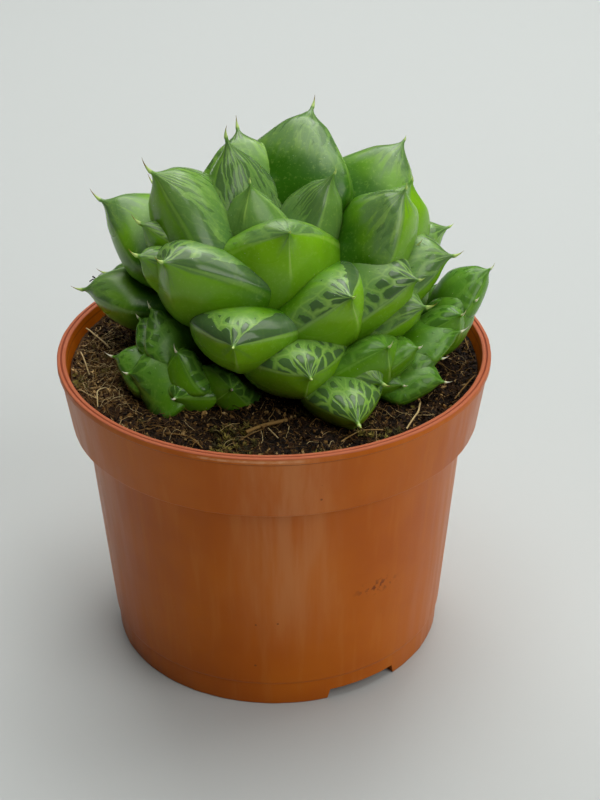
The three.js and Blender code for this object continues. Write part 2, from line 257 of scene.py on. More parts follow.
# %% [markdown]
# ## Leaf finish
# A haworthia leaf is a bag of water under a waxy skin. The sides and the underside are plain green.
# The end of the upper face is a window: the skin there has no green cells, so the eye looks into
# the dark inside, and pale veins run over it in a net that gathers at the tip.
#
# A pattern in flat millimetres would let the veins run past the tip. So each leaf carries its own
# coordinates as attributes: how far across (-1 to 1), how far round to the upper face (-1 to 1), and
# how many millimetres from the tip. Lines of equal "across" all meet at the tip, as the real veins
# do. Two more attributes carry the leaf's habits, such as how long its windows are.

# %% What each leaf carries
LEAF_ATTRIBUTES = {
    "leaf_place": ("across", "face", "from_tip"),
    "leaf_habit": ("seed", "cell_length", "reach"),
    "leaf_tone": ("openness", "band_side", "paleness"),
}
YOUNG_CELLS = (10.2, 10.9)  # mm; windows this long are found in the young heart leaves alone


def leaf_coordinates(tree):
    leaf = SimpleNamespace(objects=add(tree, "ShaderNodeTexCoord").outputs["Object"])
    for attribute, parts in LEAF_ATTRIBUTES.items():
        vector = add(tree, "ShaderNodeAttribute", attribute_name=attribute).outputs["Vector"]
        for part, socket in zip(parts, add(tree, SPLIT, [vector]).outputs):
            setattr(leaf, part, socket)
    leaf.beside = add(tree, MATH, [leaf.across], **WITHOUT_SIGN)
    leaf.young = add(tree, RANGE, [leaf.cell_length, *YOUNG_CELLS], **SMOOTHLY)
    return leaf


# %% [markdown]
# ### Windows and veins
# The net is a Voronoi pattern: its cells are the windows and the lines between them the veins. Two
# readings of the same pattern are used. The distance to the cell's edge draws the veins, and the
# distance to its middle rounds the windows off. They fade out over the leaf's own reach. A real net
# is crooked, so a noise bends it a little first.

# %% Windows and veins
NET_AT_TIP = 0.4        # windows across half a leaf at the tip, for each mm of a window's length
NET_SPREADS = 0.22      # and this many more for each mm back from the tip
NET_SHORTENS = 1.2      # power by which the windows get shorter as they go back
VEIN_HALF_WIDTH = 0.09  # in windows
CROOK_MM = 2.2
CROOK_SHARE = 0.16      # how far the veins stray, in half widths of the leaf
SEED_STEPS = (17.3, 5.1)  # how far across and along the pattern each leaf's own part lies
REACH_SHARES = (0.75, 0.55)  # the windows' reach in the middle is the second, at a margin the sum
NARROWING = (0.2, 1.0, VEIN_HALF_WIDTH, 0.5)  # windows narrow between these shares of the reach
UNEVEN_WINDOWS = 0.3
BAND_FROM = (0.7, 0.8)  # a band fills the leaf from here to its margin
BAND_ENDS = (1.25, 0.95)
BAND_OPENS = 0.7        # how much a band widens the windows
BOTH_SIDES = 1.1        # a band side over this stands for both
ROUNDING = (0.1, 0.45, 1, 0.56)  # windows are cut round, except close to the tip
PANE_EDGE = (-0.02, 0.06)
UPPER_FACE = (0.02, 0.16)
TIP_STAYS_PLAIN = (0.3, 1.3)  # mm
VEINS_FADE = (1.1, 0.6)
VEIN_LINE = (0.12, 0.02)


def window_net(tree, leaf):
    """The share of window, of vein and of tint at each spot, and how far back the spot lies."""
    crook = add(tree, NOISE, {"Vector": leaf.objects, "Scale": 1 / (CROOK_MM * MM), "Detail": 2})
    bent = add(tree, MATH, [crook, CROOK_SHARE, leaf.across], **TIMES_PLUS)
    crowd = add(tree, MATH, [leaf.cell_length, NET_AT_TIP], **TIMES)
    crowd = add(tree, MATH, [leaf.from_tip, NET_SPREADS, crowd], **TIMES_PLUS)
    own_part = add(tree, MATH, [leaf.seed, SEED_STEPS[0]], **TIMES)
    column = add(tree, MATH, [bent, crowd, own_part], **TIMES_PLUS)
    row = add(tree, MATH, [leaf.from_tip, leaf.cell_length], **OVER)
    row = add(tree, MATH, [row, NET_SHORTENS], operation="POWER")
    row = add(tree, MATH, [leaf.seed, SEED_STEPS[1], row], **TIMES_PLUS)
    where = add(tree, JOIN, [column, row])
    pattern = {"Vector": where, "Scale": 1, "Randomness": 1}
    to_edge = add(tree, VORONOI, pattern, feature="DISTANCE_TO_EDGE", voronoi_dimensions="2D")
    to_middle = add(tree, VORONOI, pattern, voronoi_dimensions="2D")

    # Windows reach further back beside the margins than in the middle, and shrink to ovals there
    squared = add(tree, MATH, [leaf.across, leaf.across], **TIMES)
    span = add(tree, MATH, [squared, *REACH_SHARES], **TIMES_PLUS)
    back = add(tree, MATH, [leaf.from_tip, add(tree, MATH, [leaf.reach, span], **TIMES)], **OVER)
    narrow = add(tree, RANGE, [back, *NARROWING], **SMOOTHLY)
    uneven = add(tree, NOISE, {"Vector": where, "Scale": 1.7, "Detail": 0})
    narrow = add(tree, MATH, [uneven, UNEVEN_WINDOWS, narrow], **TIMES_PLUS)

    # Beside one margin or both they run together into a band
    both = add(tree, MATH, [leaf.band_side, BOTH_SIDES], **ABOVE)
    banded = add(tree, MATH, [add(tree, MATH, [leaf.across, leaf.band_side], **TIMES),
                              add(tree, MATH, [leaf.beside, both], **TIMES)], **LARGER)
    banded = add(tree, RANGE, [banded, *BAND_FROM], **SMOOTHLY)
    band = add(tree, MATH, [banded, add(tree, RANGE, [back, *BAND_ENDS], **SMOOTHLY)], **TIMES)

    # A pane is what lies far enough from the veins and near enough to a window's middle
    limit = add(tree, MATH, [band, -BAND_OPENS, narrow], **TIMES_PLUS)
    limit = add(tree, MATH, [limit, UNEVEN_WINDOWS / 2], **MINUS)
    pane = add(tree, MATH, [to_edge, limit], **MINUS)
    room = add(tree, RANGE, [back, *ROUNDING], **SMOOTHLY)
    room = add(tree, MATH, [band, BAND_OPENS, room], **TIMES_PLUS)
    room = add(tree, MATH, [room, to_middle], **MINUS)
    pane = add(tree, RANGE, [add(tree, MATH, [pane, room], **SMALLER), *PANE_EDGE], **SMOOTHLY)
    upper = add(tree, RANGE, [leaf.face, *UPPER_FACE], **SMOOTHLY)
    upper = add(tree, MATH, [upper, leaf.openness], **TIMES)
    off_awn = add(tree, RANGE, [leaf.from_tip, *TIP_STAYS_PLAIN], **SMOOTHLY)
    shown = add(tree, MATH, [upper, off_awn], **TIMES)
    pane = add(tree, MATH, [pane, shown], use_clamp=True, **TIMES)

    # Veins are palest where there are windows between them, and faint in the young leaves
    veins = add(tree, MATH, [add(tree, RANGE, [back, *VEINS_FADE], **SMOOTHLY), upper], **TIMES)
    tint = add(tree, MATH, [veins, add(tree, MATH, [leaf.young, 0.35, 0.45], **TIMES_PLUS)], **TIMES)
    line = add(tree, RANGE, [to_edge, *VEIN_LINE], **SMOOTHLY)
    line = add(tree, MATH, [line, add(tree, MATH, [leaf.young, -0.1, 0.28], **TIMES_PLUS)], **TIMES)
    line = add(tree, MATH, [line, veins], **TIMES)
    return pane, line, tint, back


# %% [markdown]
# ### Skin
# Under the net lies the plain skin, and it isn't one green either. It is darker towards the root, a
# painted shade where the leaves crowd, and greyer at the end of the leaf, partly its own grey and partly
# a painted sheen, where the grey runs out in streaks. It is paler along the keel and the margins. It is
# finely mottled, because each of its cells stands out a little, and a few drops have dried on it. Each
# of these is a share from 0 to 1, and the finish lays its colour on by that share.

# %% Skin shares
BLOTCH_MM = 9
BLOTCHES_STRAY = 9      # mm
PAINTED_SHADE_FROM = (8, 21)     # mm from the tip
LINE_WIDTH = (0.075, 0.02)
KEEL_ENDS = (7, 4)      # mm from the tip
MARGIN_AT = -0.05       # round the ring
MARGIN_WIDTH = (0.07, 0.02)
MARGIN_ENDS = (26, 6)   # mm from the tip
STREAKS_ACROSS = 5
STREAKS_ALONG = 0.13    # for each mm
STREAKS_ROUND = 1.5
RAGGED_BY = 12          # mm
GREY_AND_SHEEN_FADES = (2, -3)    # mm
SPECK_MM = 0.9
CELLS_MM = 0.8
SPECK_RARITY = 0.93     # this share of the places where a drop could have dried is bare


def skin_shares(tree, leaf):
    # Painted shade: darker towards the root, where the leaves crowd and shade each other
    blotch = add(tree, NOISE, {"Vector": leaf.objects, "Scale": 1 / (BLOTCH_MM * MM), "Detail": 3})
    depth = add(tree, MATH, [blotch, BLOTCHES_STRAY, leaf.from_tip], **TIMES_PLUS)
    deep = add(tree, MATH, [add(tree, RANGE, [depth, *PAINTED_SHADE_FROM], **SMOOTHLY),
                            add(tree, RANGE, [leaf.face, -0.4, 0.2, 0.75, 1], **SMOOTHLY)], **TIMES)

    # A pale line runs down the keel and another along each margin
    keel = add(tree, MATH, [add(tree, RANGE, [leaf.beside, *LINE_WIDTH], **SMOOTHLY),
                            add(tree, RANGE, [leaf.from_tip, *KEEL_ENDS], **SMOOTHLY)], **TIMES)
    keel = add(tree, MATH, [keel, add(tree, RANGE, [leaf.face, -0.6, -0.9], **SMOOTHLY)], **TIMES)
    off_margin = add(tree, MATH, [add(tree, MATH, [leaf.face, -MARGIN_AT], **PLUS)], **WITHOUT_SIGN)
    margin = add(tree, MATH, [add(tree, RANGE, [off_margin, *MARGIN_WIDTH, 0, 0.4], **SMOOTHLY),
                              add(tree, RANGE, [leaf.from_tip, *MARGIN_ENDS], **SMOOTHLY)], **TIMES)
    edges = add(tree, MATH, [keel, margin], **LARGER)

    # The grey end, partly the skin's own grey and partly a painted sheen, whose streaks are a noise drawn
    # out along the leaf
    stretched = add(tree, JOIN, [
        add(tree, MATH, [leaf.across, STREAKS_ACROSS], **TIMES),
        add(tree, MATH, [leaf.from_tip, STREAKS_ALONG], **TIMES),
        add(tree, MATH, [leaf.seed, 31, add(tree, MATH, [leaf.face, STREAKS_ROUND], **TIMES)],
            **TIMES_PLUS),
    ])
    streak = add(tree, NOISE, {"Vector": stretched, "Scale": 1, "Detail": 3})
    ragged = add(tree, MATH, [streak, RAGGED_BY, leaf.from_tip], **TIMES_PLUS)
    underneath = add(tree, MATH, [leaf.young, 0.55, 0.1], **TIMES_PLUS)
    share = add(tree, RANGE, [leaf.face, -0.35, 0.1, underneath, 0.75], **SMOOTHLY)
    ends = add(tree, MATH, [leaf.reach, share, 6], **TIMES_PLUS)
    grey_and_sheen = add(tree, RANGE, [add(tree, MATH, [ragged, ends], **MINUS), *GREY_AND_SHEEN_FADES], **SMOOTHLY)
    grey_and_sheen = add(tree, MATH, [grey_and_sheen, leaf.paleness], **TIMES)
    pale = add(tree, MATH, [add(tree, RANGE, [streak, 0.53, 0.6], **SMOOTHLY), grey_and_sheen], **TIMES)
    faint = add(tree, RANGE, [leaf.face, -0.3, 0.1, 0.1, 0.3], **SMOOTHLY)
    pale = add(tree, MATH, [pale, faint], **TIMES)

    # Dried drops and the mottle
    drops = add(tree, VORONOI, {"Vector": leaf.objects, "Scale": 1 / (SPECK_MM * MM)})
    rare = add(tree, "ShaderNodeSeparateColor", [drops.outputs["Color"]])
    rare = add(tree, MATH, [rare, SPECK_RARITY], **ABOVE)
    dust = add(tree, RANGE, [drops.outputs["Distance"], 0.1, 0.06, 0, 0.5], **SMOOTHLY)
    dust = add(tree, MATH, [dust, rare], **TIMES)
    cells = add(tree, NOISE, {"Vector": leaf.objects, "Scale": 1 / (CELLS_MM * MM), "Detail": 3,
                              "Roughness": 0.7})
    mottle = add(tree, RANGE, [cells, 0.52, 0.72, 0, 0.22], **SMOOTHLY)
    return deep, grey_and_sheen, pale, mottle, edges, dust


# %% [markdown]
# ### The whole leaf
# The colours go on in layers, from the body's green to the awn, which is pale at its root and brown
# or cream at its end. The skin over a window is smooth and shines; elsewhere it is dull with wax. A
# little light goes into the flesh and comes out green, which subsurface scattering does. Old leaves
# and the offsets' young ones differ in colour and gloss alone, so one function makes both finishes.

# %% Leaf finish
GRAIN_MM = 0.45
DRIED_WATER = "#dfe8d0"
AWN_STARTS = (0.4, -0.2)    # mm from the tip
AWN_TURNS = (-0.6, -2.2)    # from the colour of its root to the colour of its end
WAX_DULLS = (0.3, 1.2, 0.26, 0.34)  # the roughness at the first and second share of the reach
WINDOW_SHINES = -0.12
SKIN_RELIEF_MM = 0.08


def leaf_finish(name, body, deep, tip, window, vein, awn, awn_end, gloss):
    material, tree, skin = new_material(name)
    leaf = leaf_coordinates(tree)
    pane, line, tint, back = window_net(tree, leaf)
    painted_shade_share, grey_and_sheen, pale, mottle, edges, dust = skin_shares(tree, leaf)
    along_awn = add(tree, RANGE, [leaf.from_tip, *AWN_TURNS], **SMOOTHLY)
    # Painted shade goes on first, then the grey end, which carries a painted sheen
    colour = layered(tree, body, [
        (painted_shade_share, deep), (grey_and_sheen, tip), (pale, vein), (tint, tip), (mottle, vein), (line, vein),
        (add(tree, MATH, [pane, 0.85], **TIMES), window),
        (add(tree, MATH, [edges, 0.6], **TIMES), vein), (dust, DRIED_WATER),
        (add(tree, RANGE, [leaf.from_tip, *AWN_STARTS], **SMOOTHLY),
         layered(tree, awn, [(along_awn, awn_end)])),
    ])
    dull = add(tree, RANGE, [back, *WAX_DULLS], **SMOOTHLY)
    grain = add(tree, NOISE, {"Vector": leaf.objects, "Scale": 1 / (GRAIN_MM * MM), "Detail": 3})
    relief = add(tree, MATH, [grain, 0.12, pane], **TIMES_PLUS)
    wire(tree, skin, {
        "Base Color": colour, "Roughness": add(tree, MATH, [pane, WINDOW_SHINES, dull], **TIMES_PLUS),
        "Normal": add(tree, BUMP, {"Height": relief, "Distance": SKIN_RELIEF_MM * MM, "Strength": 0.6}),
        "IOR": 1.45, "Specular IOR Level": gloss, "Subsurface Weight": 0.2,
        "Subsurface Radius": (0.6, 1.0, 0.12), "Subsurface Scale": 2.5 * MM})
    return material


# deep is the painted shade at the leaves' roots; tip is the grey end, partly the skin's own grey and partly
# a painted sheen
old_leaf = leaf_finish(
    "waxy green leaf skin", body="#77ac16", deep="#2e6200", tip="#5f8446", window="#3c5634",
    vein="#a2c65c", awn="#b4cc78", awn_end="#7a5230", gloss=0.42)
young_leaf = leaf_finish(
    "waxy green skin of young leaves", body="#5c9012", deep="#326400", tip="#4c7a2e",
    window="#2a4a1c", vein="#8ab44c", awn="#e4e6c6", awn_end="#cbbf95", gloss=0.32)
print("leaf finishes:", old_leaf.name, "and", young_leaf.name)

# %% [markdown]
# ## Leaves
# Each leaf follows a path, its midline: it leaves the stem steeply and bends outwards, and a fat
# boat-shaped skin is drawn round it. The rosette itself follows the golden angle, 137.5 degrees
# from one leaf to the next, which is how the plant packs them. The rows are the measured model's
# rows: number from the heart, departure from the golden-angle heading, rise, reach, width, roll and,
# where they aren't the usual ones, the bend and a sideways shift of the root.
#
# A leaf could be sculpted by hand, but then thirty-five of them would be thirty-five jobs. Here the
# midline is worked out point by point, with the half width, depth and swelling at each point stored
# beside it, and a node tree draws the skin from those.

# %% Leaf rows
MAIN_CENTRE = (-2, 4)
STEM_TOP = 78           # heights
STEM_FOOT = 66
OFFSET_FOOT = 65
FIRST_HEADING = -40     # degrees; 0 is the front and 90 the right
GOLDEN_ANGLE = 137.5
HEART_BEND = -15        # degrees from root to tip; a minus bends the leaf outwards
USUAL_BEND = -43
OUTER_BEND = -32
OFFSET_BEND = -28
AWN_LIFT = 20
HEART_LEAVES = 3        # the leaves before this number bend least
OUTER_LEAVES_FROM = 24
MAIN_LEAVES = [
    [-1, 0, 78, 21, 15, 0], [0, 19, 78, 26, 20, 0], [1, -19, 63, 30.5, 22, 25],
    [2, 0, 77, 34, 25, -10], [3, 3, 53, 30, 32, 0], [4, 4, 57, 41.5, 29, -6],
    [5, -5, 58, 38.5, 27, -17], [6, 9, 48, 41, 22, 34, 25], [7, -7, 64, 38, 26, 0],
    [8, -20, 40, 36.5, 28, 0], [9, 7, 42, 46.5, 27, 14, 5], [10, 2, 37, 40.5, 24, -12, -30],
    [11, 0, 32, 35.5, 27, 24, -20], [12, 6, 44, 36, 24, 0], [13, -19, 49, 36, 14, 0],
    [14, 9, 48, 42.5, 25, 0, 35], [15, 4, 38, 38, 23, 0], [16, -9, 23, 37.5, 22, 0],
    [17, 2, 38, 38, 23, 0], [18, -10, 13, 37, 20, 0], [19, 6, 31, 39.5, 27, 27],
    [20, 2, 32, 39, 22, 0], [21, -24, 43, 37.5, 16, 0], [22, -26, 29, 42.5, 25, 28],
    [23, 6, 13, 35, 18, 0], [24, -6, 14, 36, 22, 0], [25, 2, 24, 38, 20, 0],
    [27, 5, 38, 37, 18, 10], [28, 0, 22, 37, 20, 0], [30, -26, 30, 43, 19, 0],
    [32, -26, 1, 40, 17, 0, -24, 8], [33, -35, 14, 36, 18, 0], [35, -30, 23, 37.5, 19, 25],
    [36, 0, 18, 36, 18, 0], [45, 11, 7, 35.5, 16, 10],
]
OFFSETS = {
    "offset_left": ((-15.5, -16.5), [
        [-86, 18, 14.5, 19, -55], [-58, 66, 11, 15, -20], [-27, 16, 9.5, 13, 0],
        [8, 26, 9.5, 14, -50, 6], [-111, 13, 19, 15, -20], [-131, 50, 19, 13, -10],
        [-136, 30, 20, 11, 0],
    ]),
    "offset_right": ((15, -12.5), [
        [97, 21, 24.5, 12, 20], [83, 16, 19.5, 12, 25], [65, 34, 18, 13, 15],
        [37, 45, 17.2, 22, 5], [72, 6, 20, 14, 25], [50, 12, 14, 12, 0],
    ]),
    "offset_back": ((29, 1), [
        [84, 50, 24, 15, 15], [60, 45, 19.5, 19, 20], [38, 42, 19, 18, 10],
        [62, 58, 15, 12, 0], [135, 42, 16, 14, 0], [170, 48, 15, 13, 0],
    ]),
}
print(len(MAIN_LEAVES), "leaves in the main rosette and",
      [len(rows) for _, rows in OFFSETS.values()], "in the offsets")

# %% [markdown]
# ## From a row to a midline
# The midline is an arc in the upright plane of the leaf's heading. The body widens from the root to
# its widest place, and from there the nose closes like a rounded wedge. The underside is almost a
# half circle at first and turns to a keel, so that the margins and the keel meet at the tip. Past
# the tip the same path goes on as the awn, a fine bristle that thins to a point.

# %% The awn
AWN_ROOT = 0.42
YOUNG_AWN_ROOT = 0.26
AWN_THIN = 0.035
AWN_RINGS = (0, 0.12, 0.3, 0.55, 0.8, 1.0)
AWN_TAPER = 1.6


def awn_path(tip, out, up, angle, awn, thick):
    """Points, radii and places of the awn, which curves up a little more as it goes."""
    share = np.array(AWN_RINGS)
    lifted = angle + math.radians(AWN_LIFT) * (0.6 + 0.8 * share)
    points = tip + share[:, None] * awn * (np.outer(np.cos(lifted), out) + np.outer(np.sin(lifted), up))
    return points, AWN_THIN + (thick - AWN_THIN) * (1 - share) ** AWN_TAPER, -share * awn


# %% From a row to a midline
MAIN_DEEP = 0.42
OFFSET_DEEP = 0.34
LEAF_SWELL = 0.18
LEAF_NOSE = 0.6
HEART_NOSE = 1.0        # the leaves in the heart are pointed rather than round
NOSE_SHARES = (0.3, 0.6)  # the least and most of a leaf that is nose
NOSE_END = 0.985
RINGS_CROWD = 0.85      # under 1, the rings crowd together towards the tip
ROOT_WIDTH = 0.42
ROOT_DEEP = 0.3
ROOT_SWELL = 0.3
KEEL = 0.4
DRAWN_IN = 0.6          # how much the last of the nose is drawn in towards the awn
OUTLINE = 1.4           # 1 gives the nose straight flanks, 2 round ones
DEEP_OUTLINE = 2.4
SWELL_OUTLINE = 3
ROUND_EDGE = 0.85       # how the upper face falls to the margin, at the root and at the tip
SHARP_EDGE = 1.4


def smooth(value, low, high):
    share = np.clip((value - low) / (high - low), 0, 1)
    return share * share * (3 - 2 * share)


def leaf_path(root, heading, rise, reach, wide, roll, bend, depth, awn, thick, nose_rate,
              body_steps, nose_steps):
    """Midline points of one leaf, in mm, with the measures that its skin needs at each."""
    turn = math.radians(bend)
    start = math.radians(rise) - turn / 2
    length = reach * (turn / 2) / math.sin(turn / 2)
    out = np.array([math.sin(math.radians(heading)), -math.cos(math.radians(heading)), 0])
    side = np.array([-out[1], out[0], 0])
    up = np.array([0, 0, 1.0])
    nose = min(max(nose_rate * wide / length, NOSE_SHARES[0]), NOSE_SHARES[1])
    widest = 1 - nose
    towards_tip = (np.arange(nose_steps) / (nose_steps - 1)) ** RINGS_CROWD
    t = np.concatenate([widest * np.arange(body_steps) / body_steps,
                        widest + (nose * towards_tip) * (NOSE_END - widest) / nose])
    angle = start + turn * t
    ahead = length / turn * (np.sin(angle) - math.sin(start))
    above = length / turn * (math.cos(start) - np.cos(angle))
    centre = root + np.outer(ahead, out) + np.outer(above, up)

    # Half width, depth, swelling, keel and edge at each ring
    body = smooth(t, -0.12, widest)
    taper = np.maximum(0, (t - widest) / nose)
    slim = 1 - DRAWN_IN * smooth(taper, 0.7, 1)
    half = wide / 2 * (ROOT_WIDTH + (1 - ROOT_WIDTH) * body) * (1 - taper ** OUTLINE) * slim
    deep = wide * depth * (ROOT_DEEP + (1 - ROOT_DEEP) * body) * (1 - taper ** DEEP_OUTLINE) * slim
    fill = ROOT_SWELL + (1 - ROOT_SWELL) * smooth(t, 0, widest)
    swell = wide * LEAF_SWELL * fill * (1 - taper ** SWELL_OUTLINE) ** 0.9 * slim
    keel = KEEL * smooth(t, 0.5, 1)
    edge = ROUND_EDGE + (SHARP_EDGE - ROUND_EDGE) * smooth(t, 0.35, 0.85)

    # The ring stands square to the midline and is turned by the roll
    twist = math.radians(roll) * smooth(t, 0, 0.7)
    square = angle + math.pi / 2
    normal = np.outer(np.cos(square), out) + np.outer(np.sin(square), up)
    across = np.outer(np.cos(twist), side) + np.sin(twist)[:, None] * normal
    over = np.cos(twist)[:, None] * normal - np.outer(np.sin(twist), side)

    tip = root + length / turn * ((math.sin(start + turn) - math.sin(start)) * out
                                  + (math.cos(start) - math.cos(start + turn)) * up)
    bristle, thin, past_tip = awn_path(tip, out, up, start + turn, awn, thick)
    last = len(thin)
    return {
        "centre": np.vstack([centre, bristle]),
        "across": np.vstack([across, np.repeat(across[-1:], last, 0)]),
        "over": np.vstack([over, np.repeat(over[-1:], last, 0)]),
        "half": np.concatenate([np.maximum(half, thick), thin]),
        "deep": np.concatenate([np.maximum(deep, thick), thin]),
        "swell": np.concatenate([np.maximum(swell, thick), thin]),
        "keel": np.concatenate([keel, np.zeros(last)]),
        "edge": np.concatenate([edge, np.ones(last)]),
        "from_tip": np.concatenate([(1 - t) * length, past_tip]),
    }


# %% [markdown]
# ## The skin tree
# Mesh to Curve turns each midline into a curve and Curve to Mesh sweeps a circle along it. The sweep
# alone would give a round pipe, so Set Position then puts every point where the leaf's rule wants
# it: across by the half width, and over by the swelling on the upper side or by the keeled depth on
# the underside. A slow noise keeps two leaves from being alike.

# %% The skin tree
LUMP_MM = 11


def leaf_skin_tree():
    tree, given, result = new_tree("leaf_skin", [
        ("Points around", "NodeSocketInt", 36),
        ("Unevenness", "NodeSocketFloat", 0.25 * MM),
        ("Finish", "NodeSocketMaterial", None),
    ])
    across, over, centre = [
        add(tree, CARRIED, [name], data_type="FLOAT_VECTOR") for name in ("across", "over", "centre")]
    half, deep, swell, keel, edge, from_tip, turn_share = [
        add(tree, CARRIED, [name], data_type="FLOAT")
        for name in ("half", "deep", "swell", "keel", "edge", "from_tip", "turn_share")]
    paths = add(tree, "GeometryNodeMeshToCurve", {"Mesh": given["Geometry"]})
    circle = add(tree, "GeometryNodeCurvePrimitiveCircle",
                 {"Resolution": given["Points around"], "Radius": 1.0})
    share = add(tree, MATH, [add(tree, "GeometryNodeInputIndex"), given["Points around"]], **OVER)
    ring = add(tree, "GeometryNodeStoreNamedAttribute",
               {"Geometry": circle, "Name": "turn_share", "Value": share})
    swept = add(tree, "GeometryNodeCurveToMesh",
                {"Curve": paths, "Profile Curve": ring, "Fill Caps": True})

    # Above the margins the ring is a swollen arc, and below them it turns to a keel
    angle = add(tree, MATH, [turn_share, math.tau], **TIMES)
    x = add(tree, MATH, [angle], operation="COSINE")
    y = add(tree, MATH, [angle], operation="SINE")
    raised = add(tree, MATH, [add(tree, MATH, [y, 0], **LARGER), edge], operation="POWER")
    upper = add(tree, MATH, [swell, raised], **TIMES)
    down_share = add(tree, MATH, [add(tree, MATH, [y, -1], **TIMES), 0], **LARGER)
    flat_share = add(tree, MATH, [1, add(tree, MATH, [x], **WITHOUT_SIGN)], **MINUS)
    wedge = add(tree, MATH, [keel, add(tree, MATH, [flat_share, down_share], **MINUS)], **TIMES)
    below = add(tree, MATH, [add(tree, MATH, [y, 0], operation="LESS_THAN"),
                             add(tree, MATH, [down_share, wedge], **PLUS)], **TIMES)
    height = add(tree, MATH, [upper, add(tree, MATH, [deep, below], **TIMES)], **MINUS)

    reach = add(tree, MATH, [x, half], **TIMES)
    sideways = add(tree, VECTOR, {0: across, "Scale": reach}, operation="SCALE")
    upwards = add(tree, VECTOR, {0: over, "Scale": height}, operation="SCALE")
    point = add(tree, VECTOR, [centre, add(tree, VECTOR, [sideways, upwards], **PLUS)], **PLUS)
    placed = add(tree, "GeometryNodeSetPosition", {"Geometry": swept, "Position": point})

    # The unevenness fades out towards the tip and leaves the awn alone
    lumps = add(tree, NOISE, {"Scale": 1 / (LUMP_MM * MM), "Detail": 1.0})
    centred = add(tree, VECTOR, [lumps.outputs["Color"], (0.5, 0.5, 0.5)], **MINUS)
    amount = add(tree, MATH, [add(tree, RANGE, [from_tip, 0.5, 6, 0, 2]), given["Unevenness"]], **TIMES)
    nudge = add(tree, VECTOR, {0: centred, "Scale": amount}, operation="SCALE")
    uneven = add(tree, "GeometryNodeSetPosition", {"Geometry": placed, "Offset": nudge})

    # The finish reads each point's place on the leaf from here
    where = add(tree, JOIN, [x, y, from_tip])
    marked = add(tree, "GeometryNodeStoreNamedAttribute",
                 {"Geometry": uneven, "Name": "leaf_place", "Value": where}, data_type="FLOAT_VECTOR")
    return end_tree(tree, given, result, add(tree, "GeometryNodeSetShadeSmooth", [marked]))


leaf_skin = leaf_skin_tree()

# %% [markdown]
# ## What each leaf looks like
# Young leaves in the heart have long stripes, old ones at the edge a net of short windows. A few
# leaves turn one margin to the light, and the windows beside it run together into one glossy band.
# The habits are a rule on the leaf's number, with departures given one by one.

# %% Leaf habits
# number: (length of a window mm, reach of the windows mm, openness, side of the band, paleness)
HABITS = {
    -1: (11, 22, 0.5, 0, 0.8), 0: (11, 24, 0.5, 0, 0.8),
    1: (12, 26, 0.6, -1, 0.75), 2: (11, 30, 0.75, -1, 0.6), 3: (6, 11, 0.4, 0, 0.9),
    4: (9, 17, 0.45, 0, 1.0), 5: (10, 26, 0.55, 1, 0.55), 6: (7, 14, 0.35, 0, 1.0),
    8: (5, 17, 0.8, 1, 0.9), 9: (6, 12, 0.35, 0, 1.0), 10: (7, 10, 0.25, 0, 1.0),
    11: (4.5, 13, 0.95, 1, 0.7), 14: (7, 9, 0.2, 0, 0.7), 16: (4.2, 15, 1.0, 1.3, 0.5),
    19: (4, 16, 0.95, 0, 0.7), 22: (6, 15, 0.6, 0, 0.8), 24: (4.6, 19, 0.95, 0, 0.4),
    32: (5, 26, 0.9, 0, 0.3),
}
AWN_LENGTHS = {5: 3.4, 10: 3.0, 22: 2.2, 24: 1.2, 3: 0.7, 16: 1.0, 11: 1.4, 19: 1.4, 9: 0.9, 30: 1.0,
               0: 1.0, 1: 1.2, 6: 1.2, 14: 1.0}
MAIN_AWN = 2.5


def habit_of(number):
    if number in HABITS:
        return HABITS[number]
    cell = 11 if number < 4 else 5.5
    return (cell, 11 + number * 7 % 6, 0.4 + 0.04 * (number % 8), 0, 0.8)


def midlines(name, leaves):
    """The midlines of some leaves, with what the skin tree and the finish have to know."""
    scales = {"across": 1, "over": 1, "centre": MM, "half": MM, "deep": MM, "swell": MM, "keel": 1,
              "edge": 1, "from_tip": 1}
    paths = [leaf["path"] for leaf in leaves]
    measures = {key: np.concatenate([path[key] for path in paths]) * scale
                for key, scale in scales.items()}
    for key in ("leaf_habit", "leaf_tone"):
        measures[key] = np.vstack([np.tile(leaf[key], (len(path["centre"]), 1))
                                   for leaf, path in zip(leaves, paths)])
    return chains_object(name, [path["centre"] for path in paths], measures)


print(len(HABITS), "leaves have habits of their own, and the rest follow the rule")


# %% [markdown]
# ## Main rosette
# Thirty-five leaves stand on one stem, the young ones higher than the old. All of them go through
# one run of the skin tree and stay one piece, because they are one node in the measured model. A
# sweep can come out inside out, so its faces are turned outwards at the end.

# %% Main rosette
LEAVES_PER_FALL = 9     # over this many leaves, the roots go most of the way from stem top to foot
ROOT_INSETS = (1, 2)    # mm from the axis, in the heart and further out


def main_bend(number):
    if number < HEART_LEAVES:
        return HEART_BEND
    return USUAL_BEND if number < OUTER_LEAVES_FROM else OUTER_BEND


def root_at(centre, heading, height, inset=0, shift=0):
    way = math.radians(heading)
    return np.array([centre[0] + inset * math.sin(way) + shift * math.cos(way),
                     centre[1] - inset * math.cos(way) + shift * math.sin(way), height])


